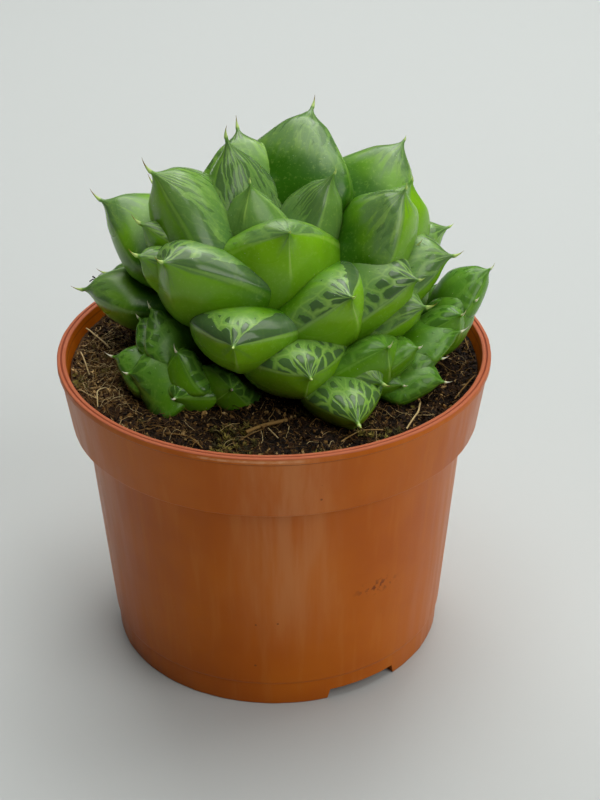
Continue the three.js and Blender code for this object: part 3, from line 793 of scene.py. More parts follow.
def main_leaf(number, departure, rise, reach, wide, roll, bend=None, shift=0):
    heading = FIRST_HEADING + GOLDEN_ANGLE * number + departure
    outside_heart = number >= HEART_LEAVES
    height = STEM_FOOT + (STEM_TOP - STEM_FOOT) * math.exp(-number / LEAVES_PER_FALL)
    root = root_at(MAIN_CENTRE, heading, height, ROOT_INSETS[outside_heart], shift)
    cell, window_reach, openness, band, paleness = habit_of(number)
    awn = AWN_LENGTHS.get(number, MAIN_AWN)
    path = leaf_path(root, heading, rise, reach, wide, roll, main_bend(number) if bend is None else bend,
                     MAIN_DEEP, awn, AWN_ROOT * min(1, 0.4 + 0.25 * awn),
                     LEAF_NOSE if outside_heart else HEART_NOSE, body_steps=14, nose_steps=26)
    return {"path": path, "leaf_habit": (number * 0.37 % 1, cell, window_reach),
            "leaf_tone": (openness, band, paleness)}


paths = midlines("main_midlines", [main_leaf(*row) for row in MAIN_LEAVES])
main_rosette = grown("main_rosette_leaves", paths, leaf_skin,
                     {"Points around": 40, "Unevenness": 0.3 * MM, "Finish": old_leaf})
bpy.data.objects.remove(paths)
face_outwards(main_rosette)
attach(main_rosette, "root")
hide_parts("main_rosette")

# %% [markdown]
# ## Offsets
# Offsets are young rosettes that bud from the old one's foot. Their leaves are the same leaf on a
# smaller scale, so they take the same path and the same tree. Each offset is a node of its own in
# the measured model, so it is a piece of its own here, too. Their windows show less than the old
# leaves' do, and least in the offset on the right.

# %% Offsets
WINDOWS_SHOW = {"offset_left": 0.55, "offset_right": 0.25, "offset_back": 0.4}
YOUNG_AWN = 1.05
YOUNG_WINDOW = 3.6


def offset_leaf(number, openness, centre, heading, rise, reach, wide, roll, shift=0):
    root = root_at(centre, heading, OFFSET_FOOT, shift=shift)
    path = leaf_path(root, heading, rise, reach, wide, roll, OFFSET_BEND, OFFSET_DEEP,
                     YOUNG_AWN + number * 5 % 3 * 0.4, YOUNG_AWN_ROOT, LEAF_NOSE,
                     body_steps=10, nose_steps=20)
    return {"path": path, "leaf_habit": (number * 0.41 % 1, YOUNG_WINDOW, 10 + number % 3 * 2),
            "leaf_tone": (openness + number % 4 * 0.08, 0, 0.5)}


for order, (node, (centre, rows)) in enumerate(OFFSETS.items()):
    leaves = [offset_leaf(order * 10 + i, WINDOWS_SHOW[node], centre, *row)
              for i, row in enumerate(rows)]
    paths = midlines(node + "_midlines", leaves)
    young = grown(node + "_leaves", paths, leaf_skin,
                  {"Points around": 28, "Unevenness": 0.2 * MM, "Finish": young_leaf})
    bpy.data.objects.remove(paths)
    face_outwards(young)
    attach(young, "root")
    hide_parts(node)

# %% [markdown]
# ## Pot
# The pot is one moulding of polypropylene: a body with a slight taper, a tall collar that lets pots
# nest without jamming, a thin rolled lip and a foot ring with two low notches that let water out. A
# moulding is round, so its profile is turned about the axis. Sharp corners look false on a moulding,
# so each corner of the profile is first rounded to a small arc.

# %% Pot profile
LIP_RADIUS = 45
LIP_DEPTH = 1.5
LIP_INNER_RADIUS = 43.2
BEAD_RADIUS = 44.1      # where the lip's two beads meet in a fine groove
BEAD_GROOVE = (0.18, 0.22)  # its half width and depth
COLLAR_TOP_RADIUS = 44.6
COLLAR_FOOT_RADIUS = 42.7
COLLAR_HEIGHT = 14.6
BODY_TOP_RADIUS = 39.9
BODY_FOOT_RADIUS = 35.5
BODY_DRAFT = 0.3        # the foot ring widens by this on its way up
FOOT_RING_HEIGHT = 5.5
FOOT_RING_STEP = 0.35
FOOT_RING_WIDTH = 1.8
WALL = 1.1
FLOOR_LIFT = 3
FLOOR_THICKNESS = 1.4
POT_HEIGHT = RIM_HEIGHT / MM
AXIS = 0.01             # the profile's ends stop this close to the axis, and are merged there


def rounded(corners, radius=0.35, steps=3):
    """Profile points with each inner corner turned to a small arc."""
    made = [corners[0]]
    for before, corner, after in zip(corners, corners[1:], corners[2:]):
        before, corner, after = (np.array(p, float) for p in (before, corner, after))
        back, on = before - corner, after - corner
        cut = min(radius, np.linalg.norm(back) / 2.2, np.linalg.norm(on) / 2.2)
        first = corner + back / np.linalg.norm(back) * cut
        last = corner + on / np.linalg.norm(on) * cut
        for i in range(steps + 1):
            s = i / steps
            made.append(tuple((1 - s) ** 2 * first + 2 * s * (1 - s) * corner + s * s * last))
    return made + [corners[-1]]


collar_foot = POT_HEIGHT - COLLAR_HEIGHT
lip_foot = POT_HEIGHT - LIP_DEPTH
foot_inner = BODY_FOOT_RADIUS - FOOT_RING_WIDTH
foot_top_radius = BODY_FOOT_RADIUS + BODY_DRAFT
floor_top = FLOOR_LIFT + FLOOR_THICKNESS
profile = rounded([
    (AXIS, FLOOR_LIFT), (foot_inner - 0.3, FLOOR_LIFT), (foot_inner, 0), (BODY_FOOT_RADIUS, 0),
    (foot_top_radius, FOOT_RING_HEIGHT), (foot_top_radius + FOOT_RING_STEP, FOOT_RING_HEIGHT + 0.5),
    (BODY_TOP_RADIUS, collar_foot), (COLLAR_FOOT_RADIUS, collar_foot + 0.2),
    (COLLAR_TOP_RADIUS, lip_foot), (LIP_RADIUS, lip_foot + 0.1), (LIP_RADIUS, POT_HEIGHT),
    (BEAD_RADIUS + BEAD_GROOVE[0], POT_HEIGHT), (BEAD_RADIUS, POT_HEIGHT - BEAD_GROOVE[1]),
    (BEAD_RADIUS - BEAD_GROOVE[0], POT_HEIGHT),
    (LIP_INNER_RADIUS, POT_HEIGHT), (COLLAR_FOOT_RADIUS - WALL, collar_foot + 0.6),
    (BODY_TOP_RADIUS - WALL, collar_foot - 1), (foot_top_radius - WALL, floor_top),
    (AXIS, floor_top),
])
print("pot profile has", len(profile), "points")

# %% [markdown]
# ### Turning it
# Blender could spin the profile with a modifier. It is turned in the script instead, because real
# thin walls are never quite true: they ripple a little, which shows as faint upright streaks in the
# sheen. Two noises, drawn out along the height, move each point of the wall by a few hundredths of a
# millimetre. The points near the axis fall together and are merged, which closes the poles.

# %% Turning the pot
POT_COLUMNS = 360
RIPPLE = 0.06           # how far the wall strays from true
RIPPLE_MEAN = 0.9       # taken off, so that the wall strays inwards
MERGE = 0.02


def turned(name, outline, columns, ripple):
    """Turns an outline about Z, with a ripple in the wall."""
    points, faces = [], []
    for j in range(columns):
        angle = math.tau * j / columns
        x, y = math.cos(angle), math.sin(angle)
        for radius, height in outline:
            wave = noise.noise(Vector((x * 9, y * 9, height * 0.012)))
            wave += 0.6 * noise.noise(Vector((x * 27, y * 27, height * 0.02)))
            strayed = radius + ripple * (wave - RIPPLE_MEAN) * min(1, radius / 20)
            points.append((strayed * y * MM, -strayed * x * MM, height * MM))
    rows = len(outline)
    for j in range(columns):
        on = (j + 1) % columns
        for i in range(rows - 1):
            faces.append((j * rows + i, on * rows + i, on * rows + i + 1, j * rows + i + 1))
    made = piece(name, points, faces)
    face_outwards(made, MERGE)
    return made


pot = turned("pot_moulding", profile, POT_COLUMNS, RIPPLE)
print("turned pot has", len(pot.data.vertices), "points")

# %% [markdown]
# ### Drain holes and notches
# Six round holes go through the raised floor and two bevelled notches through the foot ring. Each is
# cut with a Boolean. The cut leaves large flat faces beside small curved ones, and smooth shading
# would draw wedges of shade over the flat ones, so edges that turn by more than the corner arcs do
# are marked sharp.

# %% Drain holes and notches
DRAIN_HOLES = 6
DRAIN_RADIUS = 3.5
DRAIN_CIRCLE = 23
DRAIN_SIDES = 32
NOTCH_WIDTH = 17
NOTCH_HEIGHT = 2.4
NOTCH_BEVEL = 0.8
NOTCH_SPAN = (26, 40)   # from the axis
NOTCH_HEADINGS = (30, 210)
SHARP_FROM = 40         # degrees; the steps of the corner arcs all turn by less


def cut_away(target, cutters):
    """Cuts each cutter from the target in turn and deletes it."""
    for cutter in cutters:
        cut = target.modifiers.new("cut", "BOOLEAN")
        cut.operation = "DIFFERENCE"
        cut.object = cutter
        cut.solver = "EXACT"
        ready = target.evaluated_get(bpy.context.evaluated_depsgraph_get())
        target.data = bpy.data.meshes.new_from_object(ready)
        target.modifiers.clear()
        bpy.data.objects.remove(cutter)


def prism(name, low, high):
    """A solid between two outlines with the same number of points (mm)."""
    count = len(low)
    sides = [(i, (i + 1) % count, count + (i + 1) % count, count + i) for i in range(count)]
    points = [mm(*point) for point in (*low, *high)]
    made = piece(name, points, [tuple(range(count)), tuple(range(count, 2 * count)), *sides])
    face_outwards(made)
    return made


def drill(angle):
    rings = [[(DRAIN_CIRCLE * math.cos(angle) + DRAIN_RADIUS * math.cos(a),
               DRAIN_CIRCLE * math.sin(angle) + DRAIN_RADIUS * math.sin(a), z)
              for a in np.linspace(0, math.tau, DRAIN_SIDES + 1)[:-1]]
             for z in (FLOOR_LIFT - 2, floor_top + 2)]
    return prism("drill", *rings)


def notch(heading):
    way = math.radians(heading)
    half = NOTCH_WIDTH / 2
    outline = [(-half, -1), (half, -1), (half - NOTCH_BEVEL, NOTCH_HEIGHT),
               (NOTCH_BEVEL - half, NOTCH_HEIGHT)]
    ends = [[(reach * math.sin(way) + across * math.cos(way),
              -reach * math.cos(way) + across * math.sin(way), height) for across, height in outline]
            for reach in NOTCH_SPAN]
    return prism("notch", *ends)


cut_away(pot, [drill(math.tau * (i + 0.5) / DRAIN_HOLES) for i in range(DRAIN_HOLES)])
cut_away(pot, [notch(heading) for heading in NOTCH_HEADINGS])
pot.data.set_sharp_from_angle(angle=math.radians(SHARP_FROM))
print("pot has", len(pot.data.polygons), "faces")

# %% [markdown]
# ## Pot finish
# Terracotta-coloured polypropylene, injection moulded: the mould is lightly textured, so the skin
# is satin. The melt leaves faint upright streaks. A paler stretch on the front is a painted sheen,
# handling has left a scuff low on the right, and specks of peat stick to it. The lip's top is redder
# and dull, with a dark line between its beads, a thin painted highlight at its front and a painted
# shadow line under it. All of these are drawn on Object coordinates, so they stay where they are
# when the view turns.

# %% Pot finish
STREAK_MM = 2.5
STREAK_DRAWN_OUT = 0.06
CLOUD_MM = 22
MOULD_GRAIN_MM = 0.35
SMUDGE_MM = 1.2
DIRT_MM = 4.5
DIRT_RARITY = 0.86
SHEEN_AT = 2             # mm across the front
SHEEN_FADES = (15, 2)
SHEEN_RISES = (8, 34)
SCUFF_AT = (19.2, -30.6, 27.4)
SCUFF_FADES = (7, 1)
SCUFF_SQUASH = (1, 1, 2.6)  # the scuff is wider than it is high
HIGHLIGHT_AT = -5
HIGHLIGHT_FADES = (13, 7)
LIP_TOP = (POT_HEIGHT - 0.35, POT_HEIGHT - 0.15)
HIGHLIGHT_HEIGHT = POT_HEIGHT - 0.7
SHADE_HEIGHT = POT_HEIGHT - LIP_DEPTH - 0.05
GROOVE_RADIUS = BEAD_RADIUS + 0.1
GROOVE_STRAYS = 0.2


def pot_finish():
    material, tree, skin = new_material("satin terracotta polypropylene")
    objects = add(tree, "ShaderNodeTexCoord").outputs["Object"]
    upright = add(tree, "ShaderNodeMapping", {"Vector": objects, "Scale": (1, 1, STREAK_DRAWN_OUT)})
    streaks, clouds, grain, smudge = [
        add(tree, NOISE, {"Vector": at, "Scale": 1 / (size * MM), "Detail": detail})
        for at, size, detail in ((upright, STREAK_MM, 4), (objects, CLOUD_MM, 3),
                                 (objects, MOULD_GRAIN_MM, 2), (objects, SMUDGE_MM, 3))]
    across, _, height = add(tree, SPLIT, [objects]).outputs
    flat = add(tree, VECTOR, [objects, (1, 1, 0)], **TIMES)
    radius = add(tree, VECTOR, [flat], operation="LENGTH").outputs["Value"]
    off_sheen, off_highlight_middle, off_highlight, off_shade = [
        add(tree, MATH, [add(tree, MATH, [value, mark * MM], **MINUS)], **WITHOUT_SIGN)
        for value, mark in ((across, SHEEN_AT), (across, HIGHLIGHT_AT), (height, HIGHLIGHT_HEIGHT),
                            (height, SHADE_HEIGHT))]

    # The painted sheen, the scuff and the specks
    painted_sheen = add(tree, MATH, [add(tree, RANGE, [off_sheen, *mm(*SHEEN_FADES)], **SMOOTHLY),
                            add(tree, RANGE, [streaks, 0.3, 0.65, 0.1, 0.34], **SMOOTHLY)], **TIMES)
    painted_sheen = add(tree, MATH, [painted_sheen, add(tree, RANGE, [height, *mm(*SHEEN_RISES)], **SMOOTHLY)], **TIMES)
    away = add(tree, VECTOR, [objects, mm(*SCUFF_AT)], **MINUS)
    away = add(tree, VECTOR, [away, SCUFF_SQUASH], **TIMES)
    away = add(tree, VECTOR, [away], operation="LENGTH").outputs["Value"]
    scuff = add(tree, MATH, [add(tree, RANGE, [away, *mm(*SCUFF_FADES), 0, 0.9], **SMOOTHLY),
                             add(tree, RANGE, [smudge, 0.5, 0.62], **SMOOTHLY)], **TIMES)
    dirt = add(tree, VORONOI, {"Vector": objects, "Scale": 1 / (DIRT_MM * MM)})
    rare = add(tree, "ShaderNodeSeparateColor", [dirt.outputs["Color"]])
    rare = add(tree, MATH, [rare, DIRT_RARITY], **ABOVE)
    speck = add(tree, RANGE, [dirt.outputs["Distance"], 0.07, 0.04, 0, 0.7], **SMOOTHLY)
    speck = add(tree, MATH, [speck, rare], **TIMES)

    # The lip, with a painted highlight along its front and a painted shadow line under it
    lip_top = add(tree, RANGE, [height, *mm(*LIP_TOP)], **SMOOTHLY)
    painted_lip_highlight = add(tree, MATH, [add(tree, RANGE, [off_highlight, *mm(0.4, 0.1)], **SMOOTHLY),
                             add(tree, RANGE, [smudge, 0.3, 0.6, 0.15, 0.75])], **TIMES)
    highlight_length = add(tree, RANGE, [off_highlight_middle, *mm(*HIGHLIGHT_FADES)], **SMOOTHLY)
    painted_lip_highlight = add(tree, MATH, [painted_lip_highlight, highlight_length], **TIMES)
    under = add(tree, RANGE, [off_shade, *mm(0.3, 0.05), 0, 0.5], **SMOOTHLY)
    off_groove = add(tree, MATH, [radius, GROOVE_RADIUS * MM], **MINUS)
    off_groove = add(tree, MATH, [clouds, GROOVE_STRAYS * MM, off_groove], **TIMES_PLUS)
    off_groove = add(tree, MATH, [off_groove], **WITHOUT_SIGN)
    between = add(tree, RANGE, [off_groove, *mm(0.28, 0.06), 0, 0.75], **SMOOTHLY)
    between = add(tree, MATH, [between, lip_top], **TIMES)

    # d09468 is a painted sheen, #e0a478 a painted highlight on the lip and #5c2a10 a painted shadow under it
    colour = layered(tree, "#b85a04", [
        (add(tree, RANGE, [clouds, 0.3, 0.7], **SMOOTHLY), "#c4660a"),
        (add(tree, RANGE, [streaks, 0.5, 0.75, 0, 0.35], **SMOOTHLY), "#cc7830"),
        (painted_sheen, "#d09468"), (scuff, "#6a2c0c"), (speck, "#5a3418"),
        (lip_top, "#a85c3c"), (painted_lip_highlight, "#e0a478"), (under, "#5c2a10"), (between, "#6a2410"),
    ])
    dull = add(tree, RANGE, [streaks, 0.3, 0.8, 0.3, 0.46], **SMOOTHLY)
    relief = add(tree, MATH, [grain, 0.25, streaks], **TIMES_PLUS)
    wire(tree, skin, {
        "Base Color": colour, "Roughness": add(tree, MATH, [lip_top, 0.3, dull], **TIMES_PLUS),
        "Normal": add(tree, BUMP, {"Height": relief, "Distance": 0.05 * MM, "Strength": 0.5}),
        "IOR": 1.49, "Specular IOR Level": 0.16, "Subsurface Weight": 0.06,
        "Subsurface Radius": (1.0, 0.4, 0.2), "Subsurface Scale": 1.0 * MM})
    return material


pot.data.materials.clear()
pot.data.materials.append(pot_finish())
print("pot finish:", pot.data.materials[0].name)
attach(pot, "root")
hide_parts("pot")

# %% [markdown]
# ## Soil
# Peat is nearly black when wet and brown where it dries. Its surface is lumpy, so a disc of fine
# rings is lifted by several sizes of noise. The side wall goes down along the pot, where the eye
# can't follow.

# %% Soil
SOIL_EDGE_HEIGHT = 63
SOIL_CROWN = 1.2
SOIL_RADIUS = 42.3
SOIL_FOOT = 4.9         # just over the pot's floor
SOIL_RINGS = 96
SOIL_COLUMNS = 280
SOIL_SINK = 0.2
LUMPS = ((0.9, 9, (0, 0, 0)), (0.7, 3.4, (7, 3, 1)), (0.45, 1.3, (0, 0, 0)), (0.28, 0.6, (0, 0, 0)))


def soil_height(x, y):
    """The height of the peat, all in mm. Each size of lump has a height, a width and a shift."""
    spot = Vector((x, y, 0))
    share = min(1, math.hypot(x, y) / LIP_INNER_RADIUS)
    lumps = sum(tall * noise.noise(spot / wide + Vector(shift)) for tall, wide, shift in LUMPS)
    return SOIL_EDGE_HEIGHT + SOIL_CROWN * (1 - share ** 2) + lumps * (1 - 0.5 * share ** 8) - SOIL_SINK


def soil_piece():
    wall = [(35.5, SOIL_FOOT), (38.2, 50.5), (41.0, 52.5), (SOIL_RADIUS, SOIL_EDGE_HEIGHT - 1.5)]
    rings = wall + [(SOIL_RADIUS * (1 - i / SOIL_RINGS), None) for i in range(SOIL_RINGS)]
    points, faces = [(0, 0, SOIL_FOOT * MM)], []
    for radius, height in rings:
        for j in range(SOIL_COLUMNS):
            angle = math.tau * j / SOIL_COLUMNS
            x, y = radius * math.cos(angle), radius * math.sin(angle)
            z = soil_height(x, y) if height is None else height
            points.append((x * MM, y * MM, z * MM))
    points.append((0, 0, soil_height(0, 0) * MM))
    for j in range(SOIL_COLUMNS):
        on = (j + 1) % SOIL_COLUMNS
        faces.append((0, 1 + on, 1 + j))
        for i in range(len(rings) - 1):
            low, high = 1 + i * SOIL_COLUMNS, 1 + (i + 1) * SOIL_COLUMNS
            faces.append((low + j, low + on, high + on, high + j))
        top = 1 + (len(rings) - 1) * SOIL_COLUMNS
        faces.append((top + j, top + on, len(points) - 1))
    return piece("peat_surface", points, faces)


soil = soil_piece()
print("soil has", len(soil.data.polygons), "faces")

# %% [markdown]
# ### Peat finish
# Moist peat is dark and dull, with paler grains. Towards a spot on the left everything is a little
# paler: the peat, and the crumbs and rootlets that come later. One small function tells them all how
# pale each spot is.

# %% Peat finish
PALE_SPOT = (-35, 0, 63)
PALE_REACH = (26, 8)     # mm from the spot, where the paling starts and where it is full
PATCH_MM = 6
PEAT_GRAIN_MM = 0.7


def left_paling(tree, objects, amount):
    away = add(tree, VECTOR, [objects, mm(*PALE_SPOT)], operation="DISTANCE").outputs["Value"]
    return add(tree, RANGE, [away, *mm(*PALE_REACH), 0, amount], **SMOOTHLY)


def peat_finish():
    material, tree, skin = new_material("moist dark peat")
    objects = add(tree, "ShaderNodeTexCoord").outputs["Object"]
    patches = add(tree, NOISE, {"Vector": objects, "Scale": 1 / (PATCH_MM * MM), "Detail": 5,
                                "Roughness": 0.65})
    grains = add(tree, NOISE, {"Vector": objects, "Scale": 1 / (PEAT_GRAIN_MM * MM), "Detail": 3})
    share = add(tree, MATH, [patches, grains], **TIMES)
    share = add(tree, MATH, [share, left_paling(tree, objects, 0.3)], **PLUS)
    wire(tree, skin, {
        "Base Color": layered(tree, "#0b0502", [(add(tree, RANGE, [share, 0.2, 0.46]), "#46301a")]),
        "Normal": add(tree, BUMP, {"Height": grains, "Distance": 0.3 * MM, "Strength": 0.9}),
        "Roughness": 0.85, "Specular IOR Level": 0.2})
    return material


soil.data.materials.append(peat_finish())
print("soil finish:", soil.data.materials[0].name)
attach(soil, "root")
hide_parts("soil")

# %% [markdown]
# ## Crumbs, flakes and moss
# Peat breaks into crumbs and flakes of half a millimetre to two, and a little olive moss grows on it
# in patches. They are repeated thousands of times, so each shape has only a few dozen faces at most.
# A crumb is the hull of a few points thrown round an egg, a flake the hull of fewer points round a
# long flat one. A moss shoot is nine small pointed leaves round a stalk.

# %% Small shapes
SHAPES_IN_KIT = 9
MOSS_SHAPES = 3
MOSS_LEAVES = 9
MOSS_HALF_WIDTH = 0.16
MOSS_FOLD = 0.07


def kit_of(name, shapes):
    """Keeps small shapes in a collection that the scatter tree picks from."""
    kit = bpy.data.collections.new(name)
    for i, shape in enumerate(shapes):
        mesh = bpy.data.meshes.new(f"{name}_{i}")
        shape.to_mesh(mesh)
        shape.free()
        kit.objects.link(bpy.data.objects.new(f"{name}_{i}", mesh))
    return kit


def broken_bit(rng, corners, widths, depths):
    """The hull of a few points thrown round an egg a millimetre long."""
    shape = bmesh.new()
    stretch = (1, rng.uniform(*widths), rng.uniform(*depths))
    for corner in rng.normal(size=(corners, 3)):
        corner *= 0.5 * MM * rng.uniform(0.8, 1.2) / np.linalg.norm(corner)
        shape.verts.new(corner * stretch)
    bmesh.ops.convex_hull(shape, input=shape.verts)
    return shape


def moss_shoot(rng):
    """A stalk's worth of small pointed leaves, each folded along its middle and closed above."""
    shape = bmesh.new()
    for i in range(MOSS_LEAVES):
        way = i * math.radians(GOLDEN_ANGLE)
        out = Vector((math.cos(way), math.sin(way), 0.25 + 0.09 * i)).normalized()
        side = Vector((-math.sin(way), math.cos(way), 0)) * MOSS_HALF_WIDTH * MM
        foot = Vector((0, 0, 0.05 * i * MM))
        long = rng.uniform(0.7, 1.1) * MM
        middle = foot + out * long * 0.4
        left, right, spine, root, end = [shape.verts.new(point) for point in (
            middle + side, middle - side, middle - Vector((0, 0, MOSS_FOLD * MM)), foot, foot + out * long)]
        for corners in ((root, right, spine), (root, spine, left), (end, spine, right), (end, left, spine),
                        (root, left, right), (end, right, left)):
            shape.faces.new(corners)
    return shape


rng = np.random.default_rng(11)
crumb_kit = kit_of("crumb", [broken_bit(rng, 8, (0.5, 0.95), (0.3, 0.8)) for _ in range(SHAPES_IN_KIT)])
flake_kit = kit_of("flake", [broken_bit(rng, 6, (0.25, 0.5), (0.15, 0.35)) for _ in range(SHAPES_IN_KIT)])
moss_kit = kit_of("moss", [moss_shoot(rng) for _ in range(MOSS_SHAPES)])
kits = (crumb_kit, flake_kit, moss_kit)

# %% [markdown]
# ### The scatter tree
# One tree throws a kit of small shapes over a bare copy of the soil's top. It can keep to patches,
# which a noise gives, as moss does. Most copies come out small and a few large, because the random
# size is raised to a power. Every copy keeps a random number, its tone.

# %% The scatter tree
PATCHES_MM = 10
PATCH_EDGE = (0.56, 0.66)
SIZE_POWER = 3.0
SEEDS = {"size": 3, "turn": 5, "tone": 8}


def scatter_tree():
    tree, given, result = new_tree("scatter", [
        ("Number per square metre", "NodeSocketFloat", 400000.0),
        ("Smallest", "NodeSocketFloat", 0.6), ("Largest", "NodeSocketFloat", 2.0),
        ("Tilt", "NodeSocketFloat", 3.0), ("Sink", "NodeSocketFloat", 0.1 * MM),
        ("Patchiness", "NodeSocketFloat", 0.0), ("Seed", "NodeSocketInt", 1),
        ("Kit", "NodeSocketCollection", None), ("Finish", "NodeSocketMaterial", None),
    ])
    cloud = add(tree, NOISE, {"Scale": 1 / (PATCHES_MM * MM), "Detail": 2.0})
    patch = add(tree, RANGE, [cloud, *PATCH_EDGE])
    share = add(tree, MIX, {"Factor": given["Patchiness"], "A": 1.0, "B": patch})
    density = add(tree, MATH, [given["Number per square metre"], share], **TIMES)
    dots = add(tree, "GeometryNodeDistributePointsOnFaces",
               {"Mesh": given["Geometry"], "Density": density, "Seed": given["Seed"]})
    parts = add(tree, "GeometryNodeCollectionInfo",
                {"Collection": given["Kit"], "Separate Children": True, "Reset Children": True})

    # Size, turn and place
    size, tone = [add(tree, "FunctionNodeRandomValue", {"Seed": SEEDS[use]}).outputs[1]
                  for use in ("size", "tone")]
    small = add(tree, MATH, [size, SIZE_POWER], operation="POWER")
    scale = add(tree, RANGE, {"Value": small, "To Min": given["Smallest"], "To Max": given["Largest"]})
    lean = add(tree, JOIN, [given["Tilt"], given["Tilt"], math.tau])
    turn = add(tree, "FunctionNodeRandomValue", {"Max": lean, "Seed": SEEDS["turn"]},
               data_type="FLOAT_VECTOR")
    placed = add(tree, "GeometryNodeInstanceOnPoints", {
        "Points": dots, "Instance": parts, "Pick Instance": True, "Rotation": turn, "Scale": scale})
    drop = add(tree, JOIN, {"Z": add(tree, MATH, [given["Sink"], -1.0], **TIMES)})
    lowered = add(tree, "GeometryNodeTranslateInstances",
                  {"Instances": placed, "Translation": drop, "Local Space": False})
    toned = add(tree, "GeometryNodeStoreNamedAttribute",
                {"Geometry": lowered, "Name": "tone", "Value": tone}, domain="INSTANCE")
    return end_tree(tree, given, result, toned)


def soil_top():
    """A bare copy of the soil's upper surface for things to lie on, kept clear of the lip."""
    shape = bmesh.new()
    shape.from_mesh(soil.data)
    reach = (SOIL_RADIUS - 0.6) * MM
    outside = [f for f in shape.faces
               if f.normal.z < 0.2 or f.calc_center_median().z < (SOIL_EDGE_HEIGHT - 3) * MM
               or f.calc_center_median().xy.length > reach]
    bmesh.ops.delete(shape, geom=outside, context="FACES")
    mesh = bpy.data.meshes.new("soil_top")
    shape.to_mesh(mesh)
    shape.free()
    return in_scene("soil_top", mesh)


scatter = scatter_tree()
ground = soil_top()

# %% [markdown]
# ### Litter finishes
# Dry crumbs run from black to straw, flakes are warmer, and moss is olive. Their colour comes from
# the random number that each copy carries, so no two neighbours match. The number is placed between
# the stops of a row of colours, a little shifted by a fine grain and by the paling on the left.

# %% Litter finishes
def toned_finish(name, stops, roughness, grain_mm):
    material, tree, skin = new_material(name)
    objects = add(tree, "ShaderNodeTexCoord").outputs["Object"]
    tone = add(tree, "ShaderNodeAttribute", attribute_name="tone")
    grains = add(tree, NOISE, {"Vector": objects, "Scale": 1 / (grain_mm * MM), "Detail": 3})
    share = add(tree, MATH, [grains, 0.3, tone.outputs["Fac"]], **TIMES_PLUS)
    share = add(tree, MATH, [share, 0.15], **MINUS)
    share = add(tree, MATH, [share, left_paling(tree, objects, 0.2)], **PLUS)
    wire(tree, skin, {
        "Base Color": layered(tree, stops[0][1], [
            (add(tree, RANGE, [share, start, end]), paint)
            for (start, _), (end, paint) in zip(stops, stops[1:])]),
        "Normal": add(tree, BUMP, {"Height": grains, "Distance": 0.2 * MM, "Strength": 0.8}),
        "Roughness": roughness, "Specular IOR Level": 0.2})
    return material


crumb_finish = toned_finish("dry peat crumbs", [
    (0, "#0b0502"), (0.5, "#1a0e05"), (0.74, "#33200d"), (0.86, "#5e421e"), (0.94, "#8c6b3a"),
    (1, "#bc9c66")], roughness=0.85, grain_mm=0.8)
flake_finish = toned_finish("peat fibres and flakes", [
    (0, "#0d0703"), (0.5, "#231507"), (0.72, "#402a12"), (0.9, "#6c5026"), (1, "#a2865a")],
    roughness=0.8, grain_mm=1.0)
moss_finish = toned_finish("olive cushion moss", [
    (0, "#241f08"), (0.5, "#423c12"), (1, "#7c7030")], roughness=0.7, grain_mm=1.5)
print("litter finishes:", [finish.name for finish in (crumb_finish, flake_finish, moss_finish)])

# %% [markdown]
# ### Scattering
# Each kind of litter is one run of the scatter tree over the same ground. The crumbs lie at any
# angle and a little sunk, the flakes lie almost flat, and the moss stands up in its patches.

# %% Scattering
LITTER_INPUTS = ("Number per square metre", "Smallest", "Largest", "Tilt", "Sink", "Patchiness", "Seed")
LITTER = [
    ("peat_crumbs", crumb_kit, crumb_finish, (2500000.0, 0.5, 2.1, math.tau, 0.1 * MM, 0.0, 4)),
    ("peat_flakes", flake_kit, flake_finish, (3500000.0, 0.5, 2.2, 0.9, -0.1 * MM, 0.0, 6)),
    ("cushion_moss", moss_kit, moss_finish, (1200000.0, 0.6, 1.4, 0.5, -0.25 * MM, 1.0, 9)),
]


def lie_on_soil(made):
    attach(made, "root")


for name, kit, finish, values in LITTER:
    lie_on_soil(grown(name, ground, scatter,
                      {"Kit": kit, "Finish": finish, **dict(zip(LITTER_INPUTS, values))}))

# %% [markdown]
# ## Rootlets and straws
# Dry rootlets lie all over the peat, and a few straws with them. Each is a wandering line that keeps
# to the soil's height, with a radius at each point. A straight stick laid down by hand would float
# over the hollows. They don't lie evenly: more than a quarter of the rootlets are thrown on the dry
# side, where the photo shows them thickest.

# %% Lines of rootlets
ROOTLETS = 560
SHORT_ROOTLETS = 1300
DRY_SIDE_SHARE = 0.28
STEP = 0.75             # from one point of a rootlet to the next
LIES_OVER = 0.25
THINNEST = 0.035
STRAW_POINTS = 12


def rootlet(rng, fewest=6, most=14, thickest=0.1):
    """A thin line that wanders over the soil, lifting off it here and there."""
    angle, radius = rng.uniform(0, math.tau), SOIL_RADIUS * math.sqrt(rng.uniform(0.08, 0.93))
    if rng.uniform() < DRY_SIDE_SHARE:
        angle = math.pi + rng.normal(0.1, 0.45)
        radius = SOIL_RADIUS * rng.uniform(0.6, 0.96)
    x, y = radius * math.cos(angle), radius * math.sin(angle)
    steps = int(rng.integers(fewest, most))
    way, curl, lift = rng.uniform(0, math.tau), rng.normal(0, 0.25), rng.uniform(0, 1.3) ** 2
    points = []
    for i in range(steps):
        raised = lift * math.sin(math.pi * i / (steps - 1))
        points.append((x, y, soil_height(x, y) + LIES_OVER + raised))
        way += curl + rng.normal(0, 0.22)
        x, y = x + STEP * math.cos(way), y + STEP * math.sin(way)
        if math.hypot(x, y) > SOIL_RADIUS - 0.7:
            way += math.pi / 2
            x, y = points[-1][:2]
    points = [p for i, p in enumerate(points) if i == 0 or p[:2] != points[i - 1][:2]]
    thick = rng.uniform(THINNEST, thickest)
    return points, thick * np.linspace(1, 0.5, len(points)), rng.uniform(0, 1)


